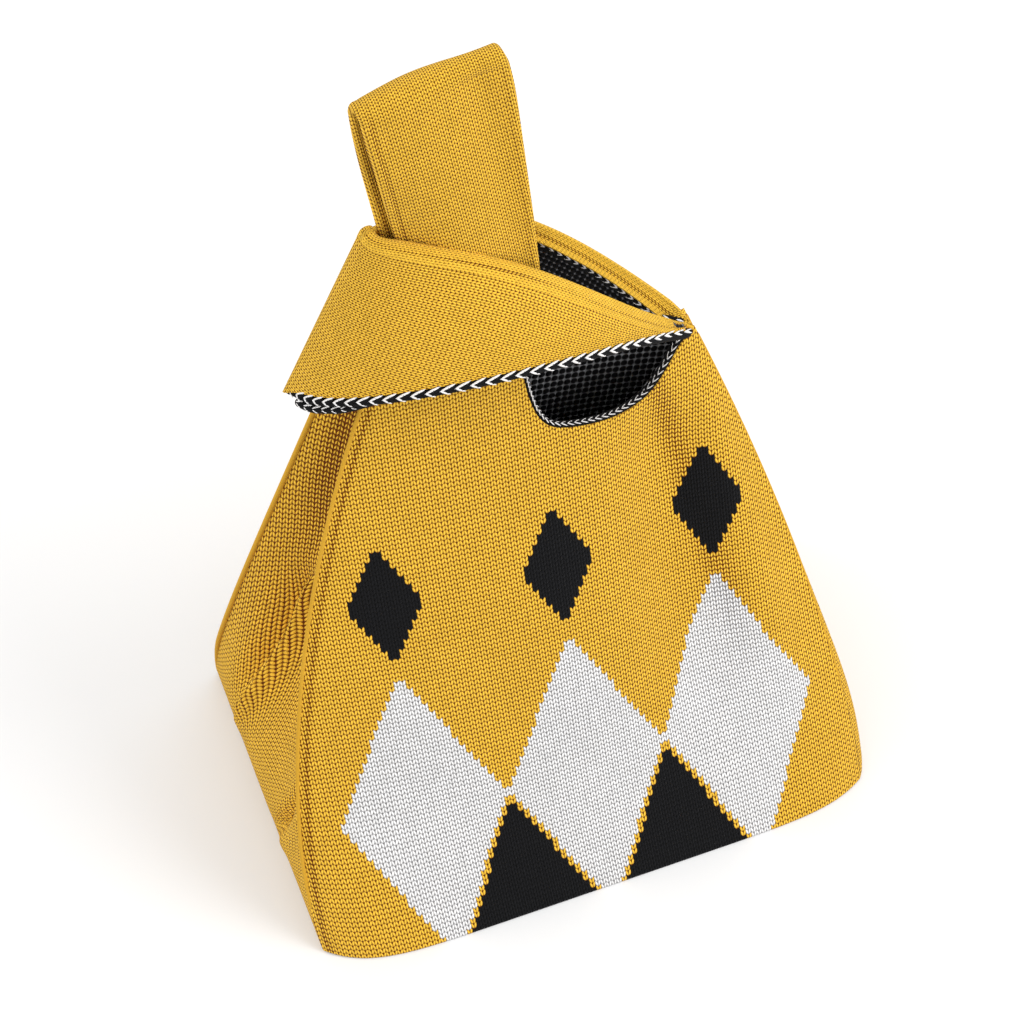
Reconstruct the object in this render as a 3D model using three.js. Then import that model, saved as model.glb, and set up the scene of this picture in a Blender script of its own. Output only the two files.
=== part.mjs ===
// Knitted wrist bag: a tapered pouch with bellows sides, a short wide loop that wraps round
// like a shawl collar, and a long narrow handle that is drawn up through that loop.
// Millimetres and degrees, +Z up. The origin is the middle of the base, on the ground.
// The front faces -Y, the handle stands to the left of the middle.
import * as THREE from 'three';

// Knit layers
const KNIT_WALL = 1.8;
const LINING_WALL = 1.4;
const CLEARANCE = 0.3;

// Pouch: four seams run from the base corners to the shoulders
const BASE_WIDTH = 220;
const BASE_DEPTH = 140;
const BASE_THICKNESS = 2.4;
const SHOULDER_HEIGHT = 207;
const LEFT_SHOULDER_X = 71.5;
const RIGHT_SHOULDER_X = 56;
const LEFT_SHOULDER_DEPTH = 26;
const RIGHT_SHOULDER_DEPTH = 10;
const LEFT_SEAM_BULGE = 10.5;
const RIGHT_SEAM_BULGE = 9;
const SEAM_BULGE_SKEW = 0.8;
const DEPTH_SAG = 9;
const BASE_BELLY = 7;
const PANEL_BELLY = 6;

// Bellows sides: bowed out at the base, folded in towards the shoulder
const GUSSET_BOW = 4;
const GUSSET_FOLD_RATIO = 0.7;
const GUSSET_FOLD_LEAST = 6;
const GUSSET_FOLD_START = 25;
const GUSSET_TOP_DROP = 3;

// Mouth: a scoop between the right shoulder and the neck that becomes the handle
const SCOOP_HEIGHT = 189;
const SCOOP_LEFT_X = -12;
const SCOOP_LEFT_ROUND = 5;
const SCOOP_RISE_X = 30;
const NECK_TOP = 245;

// Short loop: upper rim and lower edge, from the tip at the right shoulder to the left fold
const LOOP_TIP_SETBACK = 1;
const LOOP_TIP_DEPTH = 7.8;
const RIM_FOLD_X = -59.5;
const RIM_DEPTH = 28;
const RIM_TIP_RISE = 3;
const LOOP_FOLD_WIDTH = 64.6;
const RIM_CROWN = 14;
const EDGE_FOLD_X = -87;
const EDGE_FRONT_REACH = 34;
const EDGE_BACK_REACH = 25;
const EDGE_TIP_DROP = 1.1;
const EDGE_FOLD_HEIGHT = 228.7;
const EDGE_CROWN = 26.2;
const LOOP_BELLY = 3;
const BACK_DROP = 18;

// Handle: a folded strap that leans to the left where it leaves the loop
const HANDLE_WIDTH = 48;
const HANDLE_ROOT_WIDTH = 41;
const HANDLE_TOP_DEPTH = 12.4;
const HANDLE_ROOT_DEPTH = 16.8;
const HANDLE_HEIGHT = 66;
const HANDLE_ROOT_LENGTH = 50;
const HANDLE_X = -24.5;
const HANDLE_Z = 278;
const HANDLE_LEAN = 10;
const HANDLE_BEND_HEIGHT = 24;
const BEND_RADIUS = 9.4;

// Edge finishes
const SEAM_RADIUS = 1.3;
const HEM_RADIUS = 1.6;
const BRAID_RADIUS = 1.5;
const EDGE_CLEARANCE = 0.5;
const LOOP_EDGING_TIP_GAP = 17.04;
const LOOP_EDGING_FOLD_GAP = 18.46;

const LINING_OUT = KNIT_WALL + CLEARANCE;
const LINING_IN = LINING_OUT + LINING_WALL;
const MIDDLE_INSET = LINING_IN / 2;
const FRONT = -1;
const BACK = 1;
const LEFT = -1;
const RIGHT = 1;

// Shape of the short loop's opening: the peaks bring the rounds to full depth, the powers skew them
const RIM_ROUND_PEAK = 0.77;
const EDGE_ROUND_PEAK = 0.84;
const EDGE_ROUND_POWER = 0.6;
const BACK_DROP_POWER = 8;
const LOOP_FOLD_TURN = 0.8;

// The facets lie closer together near the base and the scoop, where the walls curve most
const ROW_CROWDING = 1.6;
const NECK_COLUMNS = 0.3;
const NECKLINE_MARGIN = 0.05;
const STRAP_LEG_SHARE = 0.38;

const lerp = THREE.MathUtils.lerp;
const arch = (t) => 4 * t * (1 - t);
const crown = (u) => 1 - (2 * u - 1) ** 2;
const point = (x, y, z) => new THREE.Vector3(x, y, z);

// Materials: mustard knit, the dark dotted inner knit, and the two-colour braid
const yarn = (color, roughness) => new THREE.MeshStandardMaterial({ color, roughness, metalness: 0 });
const mustardKnit = () => yarn(0xe3a72a, 0.9);
const dottedKnit = () => yarn(0x262628, 0.95);
const braidKnit = () => yarn(0x8a8986, 0.9);

const bag = new THREE.Group();

function add(parent, name, geometry, material) {
  const mesh = new THREE.Mesh(geometry, material);
  mesh.name = name;
  parent.add(mesh);
}

// Volume enclosed by a closed triangle list, negative if its faces point inwards.
function signedVolume(positions, triangles) {
  const corner = (i) => new THREE.Vector3().fromArray(positions, 3 * i);
  let volume = 0;
  for (let i = 0; i < triangles.length; i += 3) {
    const [a, b, c] = [0, 1, 2].map((k) => corner(triangles[i + k]));
    volume += a.dot(b.cross(c)) / 6;
  }
  return volume;
}

function solid(points, triangles) {
  const positions = points.flatMap((p) => p.toArray());
  if (signedVolume(positions, triangles) < 0) triangles.reverse();
  const geometry = new THREE.BufferGeometry();
  geometry.setAttribute('position', new THREE.Float32BufferAttribute(positions, 3));
  geometry.setIndex(triangles);
  return geometry.toNonIndexed();
}

// A layer of cloth: surface(u, v, inset) is followed at two insets, and the rims are closed.
function layer(surface, outer, inner, columns, rows) {
  const points = [];
  const triangles = [];
  for (const inset of [outer, inner]) {
    for (let j = 0; j <= rows; j += 1) {
      for (let i = 0; i <= columns; i += 1) points.push(surface(i / columns, j / rows, inset));
    }
  }
  const count = (columns + 1) * (rows + 1);
  const at = (i, j, side) => side * count + j * (columns + 1) + i;
  const quad = (a, b, c, d) => triangles.push(a, b, c, a, c, d);
  for (let j = 0; j < rows; j += 1) {
    for (let i = 0; i < columns; i += 1) {
      quad(at(i, j, 0), at(i + 1, j, 0), at(i + 1, j + 1, 0), at(i, j + 1, 0));
      quad(at(i, j, 1), at(i, j + 1, 1), at(i + 1, j + 1, 1), at(i + 1, j, 1));
    }
  }
  for (let i = 0; i < columns; i += 1) {
    quad(at(i, 0, 1), at(i + 1, 0, 1), at(i + 1, 0, 0), at(i, 0, 0));
    quad(at(i, rows, 0), at(i + 1, rows, 0), at(i + 1, rows, 1), at(i, rows, 1));
  }
  for (let j = 0; j < rows; j += 1) {
    quad(at(0, j, 0), at(0, j + 1, 0), at(0, j + 1, 1), at(0, j, 1));
    quad(at(columns, j, 1), at(columns, j + 1, 1), at(columns, j + 1, 0), at(columns, j, 0));
  }
  return solid(points, triangles);
}

// A round cord of knit along a row of points: seam ridges, rolled hems and braids.
function cord(points, radius, steps) {
  const section = new THREE.Shape().absarc(0, 0, radius, 0, 2 * Math.PI, false);
  const extrudePath = new THREE.CatmullRomCurve3(points);
  return new THREE.ExtrudeGeometry(section, { steps, curveSegments: 3, extrudePath });
}

// Unit vector square to a path's direction and to the bag's depth; side picks which way.
function squareTo(path, s, side) {
  const step = 0.01;
  const along = path(s + step).sub(path(s - step));
  return point(0, side, 0).cross(along).normalize();
}

// A cord laid along an edge, clear of it by its radius and a little more.
function edgeCord(path, side, radius, places, steps) {
  const points = places.map((s) => {
    return path(s).addScaledVector(squareTo(path, s, side), radius + EDGE_CLEARANCE);
  });
  return cord(points, radius, steps);
}

const sample = (count, f) => Array.from({ length: count + 1 }, (_, i) => f(i / count));

// Seam lines: distance from the middle (x) and half the depth (y) at height z.
function seamX(side, z) {
  const shoulder = side === LEFT ? LEFT_SHOULDER_X : RIGHT_SHOULDER_X;
  const bulge = side === LEFT ? LEFT_SEAM_BULGE : RIGHT_SEAM_BULGE;
  const t = z / SHOULDER_HEIGHT;
  return side * (lerp(BASE_WIDTH / 2, shoulder, t) + bulge * arch(t ** SEAM_BULGE_SKEW));
}

function seamY(side, z) {
  const shoulder = side === LEFT ? LEFT_SHOULDER_DEPTH : RIGHT_SHOULDER_DEPTH;
  const t = z / SHOULDER_HEIGHT;
  return lerp(BASE_DEPTH / 2, shoulder / 2, t) - DEPTH_SAG * arch(t);
}

// Front or back panel at u across and height z, drawn in by an inset.
function panelPoint(face, u, z, inset) {
  const t = Math.min(z / SHOULDER_HEIGHT, 1);
  const belly = (BASE_BELLY + PANEL_BELLY * Math.sin(Math.PI * t)) * crown(u);
  const x = lerp(seamX(LEFT, z) + inset, seamX(RIGHT, z) - inset, u);
  const y = lerp(seamY(LEFT, z), seamY(RIGHT, z), u) - inset + belly;
  return point(x, face * y, z);
}

// Side panel at w across, from -1 at the front seam to 1 at the back seam.
function gussetPoint(side, w, z, inset) {
  const rise = THREE.MathUtils.smoothstep(z, GUSSET_FOLD_START, SHOULDER_HEIGHT);
  const middle = 1 - w * w;
  const depth = seamY(side, z);
  const room = Math.max(0, depth - GUSSET_FOLD_LEAST);
  const fold = GUSSET_FOLD_RATIO * room * rise * middle ** 2 - GUSSET_BOW * (1 - rise) * middle;
  const slack = THREE.MathUtils.smoothstep(depth, GUSSET_FOLD_LEAST, 3 * GUSSET_FOLD_LEAST);
  const y = w * (depth - EDGE_CLEARANCE - inset * (1 - slack * middle));
  return point(seamX(side, z) - side * (inset + fold), y, z);
}

// Height of the panel's upper edge: neck at the left, scoop, then the right shoulder.
function panelTop(u) {
  const left = seamX(LEFT, SHOULDER_HEIGHT);
  const right = seamX(RIGHT, SHOULDER_HEIGHT);
  const x = lerp(left, right, u);
  const shoulder = SHOULDER_HEIGHT - GUSSET_TOP_DROP - SCOOP_HEIGHT;
  const rise = Math.max(0, (x - SCOOP_RISE_X) / (right - SCOOP_RISE_X));
  const drop = Math.exp(-(x - SCOOP_LEFT_X) / SCOOP_LEFT_ROUND);
  const neck = (NECK_TOP - SCOOP_HEIGHT) * Math.min(1, drop);
  return SCOOP_HEIGHT + Math.max(neck, shoulder * rise * rise);
}

// Columns of a panel: a few over the neck, then many that crowd the steep side of the scoop.
const scoopStart = (SCOOP_LEFT_X + LEFT_SHOULDER_X) / (LEFT_SHOULDER_X + RIGHT_SHOULDER_X);
function columnShare(share) {
  if (share < NECK_COLUMNS) return (scoopStart * share) / NECK_COLUMNS;
  return lerp(scoopStart, 1, ((share - NECK_COLUMNS) / (1 - NECK_COLUMNS)) ** ROW_CROWDING);
}

// Flat slab whose outline follows the pouch's walls, between two heights.
function floorSlab(inset, low, high) {
  const across = 14;
  const along = 8;
  const ring = (z) => [
    ...sample(across, (u) => panelPoint(FRONT, u, z, inset)),
    ...sample(along, (t) => gussetPoint(RIGHT, 2 * t - 1, z, inset)).slice(1, along),
    ...sample(across, (u) => panelPoint(BACK, 1 - u, z, inset)),
    ...sample(along, (t) => gussetPoint(LEFT, 1 - 2 * t, z, inset)).slice(1, along),
  ];
  const lower = ring(low);
  const points = [...lower, ...ring(high), point(0, 0, low), point(0, 0, high)];
  const n = lower.length;
  const triangles = [];
  for (let i = 0; i < n; i += 1) {
    const next = (i + 1) % n;
    triangles.push(i, next, n + next, i, n + next, n + i);
    triangles.push(next, i, 2 * n, n + i, n + next, 2 * n + 1);
  }
  return solid(points, triangles);
}

function addPouch(parent) {
  const columns = 18;
  const rows = 10;
  const gussetColumns = 8;
  const liningFoot = BASE_THICKNESS + CLEARANCE;
  const gussetTop = SHOULDER_HEIGHT - GUSSET_TOP_DROP;
  const rowHeight = (foot, top, v) => Math.max(foot, top * v ** ROW_CROWDING);
  const panel = (face, foot) => (share, v, inset) => {
    const u = columnShare(share);
    return panelPoint(face, u, rowHeight(foot, panelTop(u), v), inset);
  };
  const gusset = (side, foot) => (u, v, inset) =>
    gussetPoint(side, 2 * u - 1, rowHeight(foot, gussetTop, v), inset);

  add(parent, 'base_panel', floorSlab(LINING_OUT, 0, BASE_THICKNESS), mustardKnit());
  const liningTop = liningFoot + LINING_WALL;
  add(parent, 'base_lining', floorSlab(LINING_IN + CLEARANCE, liningFoot, liningTop), dottedKnit());
  for (const [name, face] of [['front', FRONT], ['back', BACK]]) {
    const wall = layer(panel(face, 0), 0, KNIT_WALL, columns, rows);
    const lining = layer(panel(face, liningFoot), LINING_OUT, LINING_IN, columns, rows);
    add(parent, `${name}_panel`, wall, mustardKnit());
    add(parent, `${name}_lining`, lining, dottedKnit());
  }
  for (const [name, side] of [['left', LEFT], ['right', RIGHT]]) {
    const wall = layer(gusset(side, 0), 0, KNIT_WALL, gussetColumns, rows);
    const lining = layer(gusset(side, liningFoot), LINING_OUT, LINING_IN, gussetColumns, rows);
    add(parent, `${name}_gusset`, wall, mustardKnit());
    add(parent, `${name}_gusset_lining`, lining, dottedKnit());
  }
}

// Pinched ridges along the four seams, standing just outside the corners.
function addSeams(parent) {
  const stand = SEAM_RADIUS + CLEARANCE / 2;
  const foot = 2 * SEAM_RADIUS;
  const top = SHOULDER_HEIGHT - 2 * GUSSET_TOP_DROP;
  for (const [faceName, face] of [['front', FRONT], ['back', BACK]]) {
    for (const [sideName, side] of [['left', LEFT], ['right', RIGHT]]) {
      const path = sample(10, (t) => {
        const z = lerp(foot, top, t);
        return point(seamX(side, z) + side * stand, face * (seamY(side, z) + stand), z);
      });
      add(parent, `${faceName}_${sideName}_seam`, cord(path, SEAM_RADIUS, 12), mustardKnit());
    }
  }
}

// Braids on the edge of the mouth, from the neck round the scoop to the right shoulder.
function addNecklines(parent) {
  const places = sample(16, (t) => lerp(NECK_COLUMNS + NECKLINE_MARGIN, 1 - NECKLINE_MARGIN, t));
  for (const [name, face] of [['front', FRONT], ['back', BACK]]) {
    const path = (share) => {
      const u = columnShare(share);
      return panelPoint(face, u, panelTop(u), MIDDLE_INSET);
    };
    const braid = edgeCord(path, -1, BRAID_RADIUS, places, 24);
    add(parent, `${name}_neckline_braid`, braid, braidKnit());
  }
}

// Half width of the short loop round the handle, at turn a from the tip (0) to the fold (pi).
const tipHalf = (a) => (LOOP_TIP_DEPTH / 2) * Math.cos(a / 2) ** 2;
const rimRound = (a) => Math.sqrt((Math.sin(a) * Math.sin(a / 2)) / RIM_ROUND_PEAK);
const edgeRound = (a) => (Math.sin(a) * Math.sin(a / 2) ** EDGE_ROUND_POWER) / EDGE_ROUND_PEAK;
const rimHalf = (a) => tipHalf(a) + (RIM_DEPTH / 2) * rimRound(a);
const edgeHalf = (a, reach) => tipHalf(a) + reach * edgeRound(a);

const tipX = RIGHT_SHOULDER_X - LOOP_TIP_SETBACK;
const rimFoldHeight = EDGE_FOLD_HEIGHT + LOOP_FOLD_WIDTH;

// Short loop at turn a and share t from the upper rim (0) to the lower edge (1).
function loopPoint(face, a, t, inset) {
  const turn = (1 - Math.cos(a)) / 2;
  const swell = Math.sin(a) ** 2;
  const reach = face === FRONT ? EDGE_FRONT_REACH : EDGE_BACK_REACH;
  const drop = face === FRONT ? 0 : BACK_DROP * turn * (1 - (a / Math.PI) ** BACK_DROP_POWER);
  const rimZ = lerp(SHOULDER_HEIGHT + RIM_TIP_RISE, rimFoldHeight, turn) + RIM_CROWN * swell;
  const edgeZ = lerp(SHOULDER_HEIGHT - EDGE_TIP_DROP, EDGE_FOLD_HEIGHT, turn) + EDGE_CROWN * swell;
  const belly = LOOP_BELLY * arch(t) * swell;
  const sideInset = inset * (1 - THREE.MathUtils.smoothstep(a, LOOP_FOLD_TURN * Math.PI, Math.PI));
  const half = lerp(rimHalf(a), edgeHalf(a, reach), t) + belly - sideInset;
  const x = lerp(tipX, lerp(RIM_FOLD_X, EDGE_FOLD_X, t) + inset, turn);
  return point(x, face * (Math.max(half, 0) + CLEARANCE / 2), lerp(rimZ, edgeZ, t) - drop);
}

// One half of the short loop: knit, lining, rolled hem on the rim and braid on the lower edge.
function addLoopHalf(parent, name, face) {
  const columns = 18;
  const rows = 4;
  const surface = (u, v, inset) => loopPoint(face, Math.PI * u, v, inset);
  add(parent, name, layer(surface, 0, KNIT_WALL, columns, rows), mustardKnit());
  add(parent, `${name}_lining`, layer(surface, LINING_OUT, LINING_IN, columns, rows), dottedKnit());
  const span = tipX - EDGE_FOLD_X;
  const first = LOOP_EDGING_TIP_GAP / span;
  const last = 1 - LOOP_EDGING_FOLD_GAP / span;
  const places = sample(16, (t) => lerp(first, last, t));
  const edge = (t) => (u) => loopPoint(face, Math.PI * u, t, MIDDLE_INSET);
  add(parent, `${name}_hem`, edgeCord(edge(0), 1, HEM_RADIUS, places, 22), mustardKnit());
  add(parent, `${name}_braid`, edgeCord(edge(1), -1, BRAID_RADIUS, places, 22), braidKnit());
}

// Strap of the handle in its own leaning frame: x across, y front to back, z along the strap.
const strapTop = HANDLE_HEIGHT - HANDLE_TOP_DEPTH / 2;
const strapHalfDepth = (z) => lerp(HANDLE_ROOT_DEPTH, HANDLE_TOP_DEPTH, Math.max(z, 0) / strapTop) / 2;
const strapHalfWidth = (z) => lerp(HANDLE_ROOT_WIDTH, HANDLE_WIDTH, z / strapTop) / 2;
const bendHalfDepth = strapHalfDepth(HANDLE_BEND_HEIGHT - BEND_RADIUS / 2);

// How far below the bend line a layer at this inset meets a drum round that line.
const drumDrop = (radius, inset) => Math.sqrt(radius ** 2 - (bendHalfDepth - inset) ** 2);

// The strap's path at share s: up the front leg, over the round top and down the back leg.
function strapPath(s, inset, foot) {
  const legs = STRAP_LEG_SHARE;
  if (s < legs) {
    const z = lerp(foot, strapTop, s / legs);
    return [-strapHalfDepth(z) + inset, z];
  }
  if (s > 1 - legs) {
    const z = lerp(foot, strapTop, (1 - s) / legs);
    return [strapHalfDepth(z) - inset, z];
  }
  const angle = (Math.PI * (s - legs)) / (1 - 2 * legs);
  const radius = HANDLE_TOP_DEPTH / 2 - inset;
  return [-radius * Math.cos(angle), strapTop + radius * Math.sin(angle)];
}

function strapPoint(across, s, inset, foot, margin) {
  const [y, z] = strapPath(s, inset, foot);
  return point(across * (strapHalfWidth(Math.min(z, strapTop)) - margin), y, z);
}

// The two legs below the bend line, inside the short loop and the neck of the pouch.
function addHandleRoots(parent) {
  const foot = -HANDLE_ROOT_LENGTH;
  for (const [name, face] of [['front', FRONT], ['back', BACK]]) {
    const surface = (u, v, inset) => {
      const top = HANDLE_BEND_HEIGHT - drumDrop(BEND_RADIUS + CLEARANCE, inset);
      const z = lerp(foot, top, v);
      const half = strapHalfWidth(Math.max(z, 0));
      return point((2 * u - 1) * half, face * (strapHalfDepth(z) - inset), z);
    };
    add(parent, `handle_${name}_root`, layer(surface, 0, KNIT_WALL, 2, 4), mustardKnit());
  }
}

// The part above the bend line: the folded strap, its inner layer and the rolled side hems.
function addHandleLoop(parent) {
  const margin = 2 * HEM_RADIUS + CLEARANCE;
  const steps = 18;
  const surface = (u, v, inset) => {
    const foot = HANDLE_BEND_HEIGHT - drumDrop(BEND_RADIUS, inset);
    return strapPoint(2 * u - 1, v, inset, foot, margin);
  };
  add(parent, 'handle_strap', layer(surface, 0, KNIT_WALL, 2, steps), mustardKnit());
  add(parent, 'handle_lining', layer(surface, LINING_OUT, LINING_IN, 2, steps), mustardKnit());
  for (const [name, side] of [['left', LEFT], ['right', RIGHT]]) {
    const path = sample(40, (s) => strapPoint(side, s, MIDDLE_INSET, HANDLE_BEND_HEIGHT, HEM_RADIUS));
    add(parent, `handle_${name}_hem`, cord(path, HEM_RADIUS, 26), mustardKnit());
  }
}

function addHandle(parent) {
  const handle = new THREE.Group();
  handle.position.set(HANDLE_X, 0, HANDLE_Z);
  handle.rotation.y = THREE.MathUtils.degToRad(-HANDLE_LEAN);
  addHandleRoots(handle);
  addHandleLoop(handle);
  parent.add(handle);
}

addPouch(bag);
addSeams(bag);
addNecklines(bag);
addLoopHalf(bag, 'short_loop_front', FRONT);
addLoopHalf(bag, 'short_loop_back', BACK);
addHandle(bag);

export default bag;
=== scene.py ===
# %% [markdown]
# # A knitted wrist bag
# The bag is a soft pouch with bellows sides. A short wide loop on the right shoulder lies round a
# long handle like a shawl collar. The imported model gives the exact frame, and this lesson dresses
# it: every piece of cloth is a surface worked out with numpy, and every finish is a set of nodes.

import bpy
import numpy as np
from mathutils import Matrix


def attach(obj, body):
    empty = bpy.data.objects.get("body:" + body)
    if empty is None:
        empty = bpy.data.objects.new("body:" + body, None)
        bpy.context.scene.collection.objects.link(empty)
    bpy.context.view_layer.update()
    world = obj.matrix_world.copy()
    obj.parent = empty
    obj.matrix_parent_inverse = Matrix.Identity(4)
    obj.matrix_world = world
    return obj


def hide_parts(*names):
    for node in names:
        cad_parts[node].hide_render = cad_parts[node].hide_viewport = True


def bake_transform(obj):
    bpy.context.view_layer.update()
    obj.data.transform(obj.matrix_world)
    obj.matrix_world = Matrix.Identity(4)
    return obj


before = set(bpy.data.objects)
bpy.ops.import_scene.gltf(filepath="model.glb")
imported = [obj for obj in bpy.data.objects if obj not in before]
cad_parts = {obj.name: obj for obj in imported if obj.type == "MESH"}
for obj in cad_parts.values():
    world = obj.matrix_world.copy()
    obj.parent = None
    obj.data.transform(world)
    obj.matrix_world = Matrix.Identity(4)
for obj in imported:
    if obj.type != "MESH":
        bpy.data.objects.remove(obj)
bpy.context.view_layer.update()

MM = 0.001

# %% [markdown]
# ## Camera
# The photograph was taken from the front left and well above. A long lens far away keeps the
# sides of the bag nearly parallel. The place was fitted to the corners of the base and the seams,
# so it is written as two angles and a distance from a point inside the bag.

# %% Camera
AZIMUTH, ELEVATION = np.radians([-20.621, 49.348])
DISTANCE = 932.259 * MM
TARGET = np.array([-9.289, 0, 134.376]) * MM
FOCAL_PIXELS, IMAGE_PIXELS, SENSOR = 2600, 1024, 36

towards = np.array([
    np.sin(AZIMUTH) * np.cos(ELEVATION),
    -np.cos(AZIMUTH) * np.cos(ELEVATION),
    np.sin(ELEVATION),
])
camera = bpy.data.objects.new("camera", bpy.data.cameras.new("camera"))
camera.data.sensor_width = SENSOR
camera.data.lens = SENSOR * FOCAL_PIXELS / IMAGE_PIXELS
camera.location = TARGET + DISTANCE * towards
camera.rotation_euler = (np.pi / 2 - ELEVATION, 0, AZIMUTH)
bpy.context.collection.objects.link(camera)
bpy.context.scene.camera = camera
print("camera at", np.round(camera.location, 3))

# %% [markdown]
# ## Helpers for materials
# Colours are written as the hex values that a screen shows, and shaders want linear light, so one
# function converts them. Another adds a node, sets it up and links it, which keeps a long chain of
# nodes readable as one line a node.

# %% Colours and nodes
def linear(hex_colour):
    """sRGB hex to linear RGBA: c / 12.92 below 0.04045, else ((c + 0.055) / 1.055) ^ 2.4."""
    c = np.array([int(hex_colour[i:i + 2], 16) for i in (1, 3, 5)]) / 255
    return (*np.where(c < 0.04045, c / 12.92, ((c + 0.055) / 1.055) ** 2.4), 1)


def add(tree, kind, inputs=(), out=0, **settings):
    """Add a node with its settings. Inputs, by place or name, are sockets to link or values."""
    node = tree.nodes.new("ShaderNode" + kind)
    for name, value in settings.items():
        setattr(node, name, value)
    pairs = inputs.items() if isinstance(inputs, dict) else enumerate(inputs)
    for place, value in pairs:
        if isinstance(value, bpy.types.NodeSocket):
            tree.links.new(value, node.inputs[place])
        else:
            node.inputs[place].default_value = value
    return node.outputs[out] if node.outputs else node


def new_material(name):
    """A material with an empty node tree, and that tree."""
    material = bpy.data.materials.new(name)
    material.use_nodes = True
    material.node_tree.nodes.clear()
    return material, material.node_tree


print("mustard in linear light:", np.round(linear("#FAC642"), 3))

# %% [markdown]
# ## Floor and light
# The bag stands on a white sweep. One large soft box lights it from the upper right, a weaker one
# fills in from behind on the left, and the room is bright. More light on the floor would wash out
# the bag, so the floor is a plain diffuse sheet with a little glow that only the eye sees. It shows
# as white and still carries the soft shadow.

# %% Floor
FLOOR_HALF = 3.0
FLOOR_DIFFUSE, FLOOR_GLOW = 0.72, 0.15

floor_mesh = bpy.data.meshes.new("floor")
floor_corners = np.array([(-1, -1, 0), (1, -1, 0), (1, 1, 0), (-1, 1, 0)]) * FLOOR_HALF
floor_mesh.from_pydata(floor_corners.tolist(), [], [(0, 1, 2, 3)])
floor = bpy.data.objects.new("floor", floor_mesh)
bpy.context.collection.objects.link(floor)

floor_material, tree = new_material("white_sweep")
seen = add(tree, "LightPath", out="Is Camera Ray")
shiny = add(tree, "LightPath", out="Is Glossy Ray")
eye = add(tree, "Math", (seen, shiny), operation="MAXIMUM")
glow = add(tree, "Math", (eye, FLOOR_GLOW), operation="MULTIPLY")
paper = add(tree, "BsdfDiffuse", {"Color": (FLOOR_DIFFUSE,) * 3 + (1,)})
lamp = add(tree, "Emission", {"Strength": glow})
add(tree, "OutputMaterial", {"Surface": add(tree, "AddShader", (paper, lamp))})
floor_mesh.materials.append(floor_material)
print("floor:", 2 * FLOOR_HALF, "m across")

# %% Soft boxes and room
ROOM_LIGHT, WHITE = 1.0, (1, 1, 1, 1)
# Size in metres, power in watts, and place in metres.
SOFT_BOXES = {"main": (1.2, 17, (1.1, -0.9, 1.3)), "fill": (1.0, 5, (-1.3, 0.35, 0.9))}

for name, (size, watts, place) in SOFT_BOXES.items():
    light = bpy.data.lights.new(name + "_soft_box", "AREA")
    light.shape = "DISK"
    light.size = size
    light.energy = watts
    soft_box = bpy.data.objects.new(name + "_soft_box", light)
    soft_box.location = place
    aim = TARGET - np.array(place)
    tilt = np.arctan2(np.hypot(*aim[:2]), -aim[2])
    soft_box.rotation_euler = (tilt, 0, np.arctan2(-aim[0], aim[1]))
    bpy.context.collection.objects.link(soft_box)

world = bpy.data.worlds.new("white_room")
world.use_nodes = True
tree = world.node_tree
tree.nodes.clear()
room = add(tree, "Background", {"Color": WHITE, "Strength": ROOM_LIGHT})
add(tree, "OutputWorld", {"Surface": room})
bpy.context.scene.world = world
bpy.context.scene.view_settings.view_transform = "Standard"
print("soft boxes:", list(SOFT_BOXES), "room:", ROOM_LIGHT)

# %% [markdown]
# ## Mesh helpers
# Cloth is a thin closed solid, so a sheet is two grids of points, one for each face, joined round
# the rim. Cords and the handle are a closed profile carried along a path. Points are in
# millimetres. A second pair of numbers at each corner, in stitches, tells the knit where its
# columns and rows lie.

# %% Meshes from arrays
SHARP = np.radians(50)
Y_AXIS, Z_AXIS = np.array([0, 1.0, 0]), np.array([0, 0, 1.0])


def piece(name, materials, points, quads, triangles, stitches, tuck_and_shade=None):
    """An object from points (n, 3) in mm, faces, and a pair of stitch numbers at each corner."""
    order = np.concatenate([quads.ravel(), triangles.ravel()]).astype(np.int32)
    starts = np.concatenate([
        4 * np.arange(len(quads)),
        4 * len(quads) + 3 * np.arange(len(triangles)),
    ]).astype(np.int32)
    mesh = bpy.data.meshes.new(name)
    for material in materials:
        mesh.materials.append(material)
    mesh.vertices.add(len(points))
    mesh.vertices.foreach_set("co", (points * MM).astype(np.float32).ravel())
    mesh.loops.add(len(order))
    mesh.loops.foreach_set("vertex_index", order)
    mesh.polygons.add(len(starts))
    mesh.polygons.foreach_set("loop_start", starts)
    mesh.update(calc_edges=True)
    mesh.uv_layers.new(name="stitches").uv.foreach_set("vector", stitches.astype(np.float32).ravel())
    marks = np.zeros(len(points)) if tuck_and_shade is None else tuck_and_shade
    mesh.attributes.new("tuck_and_shade", "FLOAT", "POINT").data.foreach_set("value", marks.astype(np.float32))
    mesh.shade_smooth()
    mesh.set_sharp_from_angle(angle=SHARP)
    mesh.validate()
    obj = bpy.data.objects.new(name, mesh)
    bpy.context.collection.objects.link(obj)
    return obj


def closed(grid):
    """A grid with its first column once more at the end."""
    return np.concatenate([grid, grid[:, :1]], axis=1)


def fans(ids):
    """Triangles that close the first and last row of a closed grid of vertex numbers, from two
    points that are numbered after the grid."""
    middle = np.full(ids.shape[1] - 1, ids.max() + 1)
    first = np.stack([middle, ids[0, 1:], ids[0, :-1]], -1)
    return np.concatenate([first, np.stack([middle + 1, ids[-1, :-1], ids[-1, 1:]], -1)])


def grid_quads(ids):
    """Quads of a grid of vertex numbers, whose columns turn left to right seen from outside."""
    return np.stack([ids[:-1, :-1], ids[:-1, 1:], ids[1:, 1:], ids[1:, :-1]], -1).reshape(-1, 4)


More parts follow.
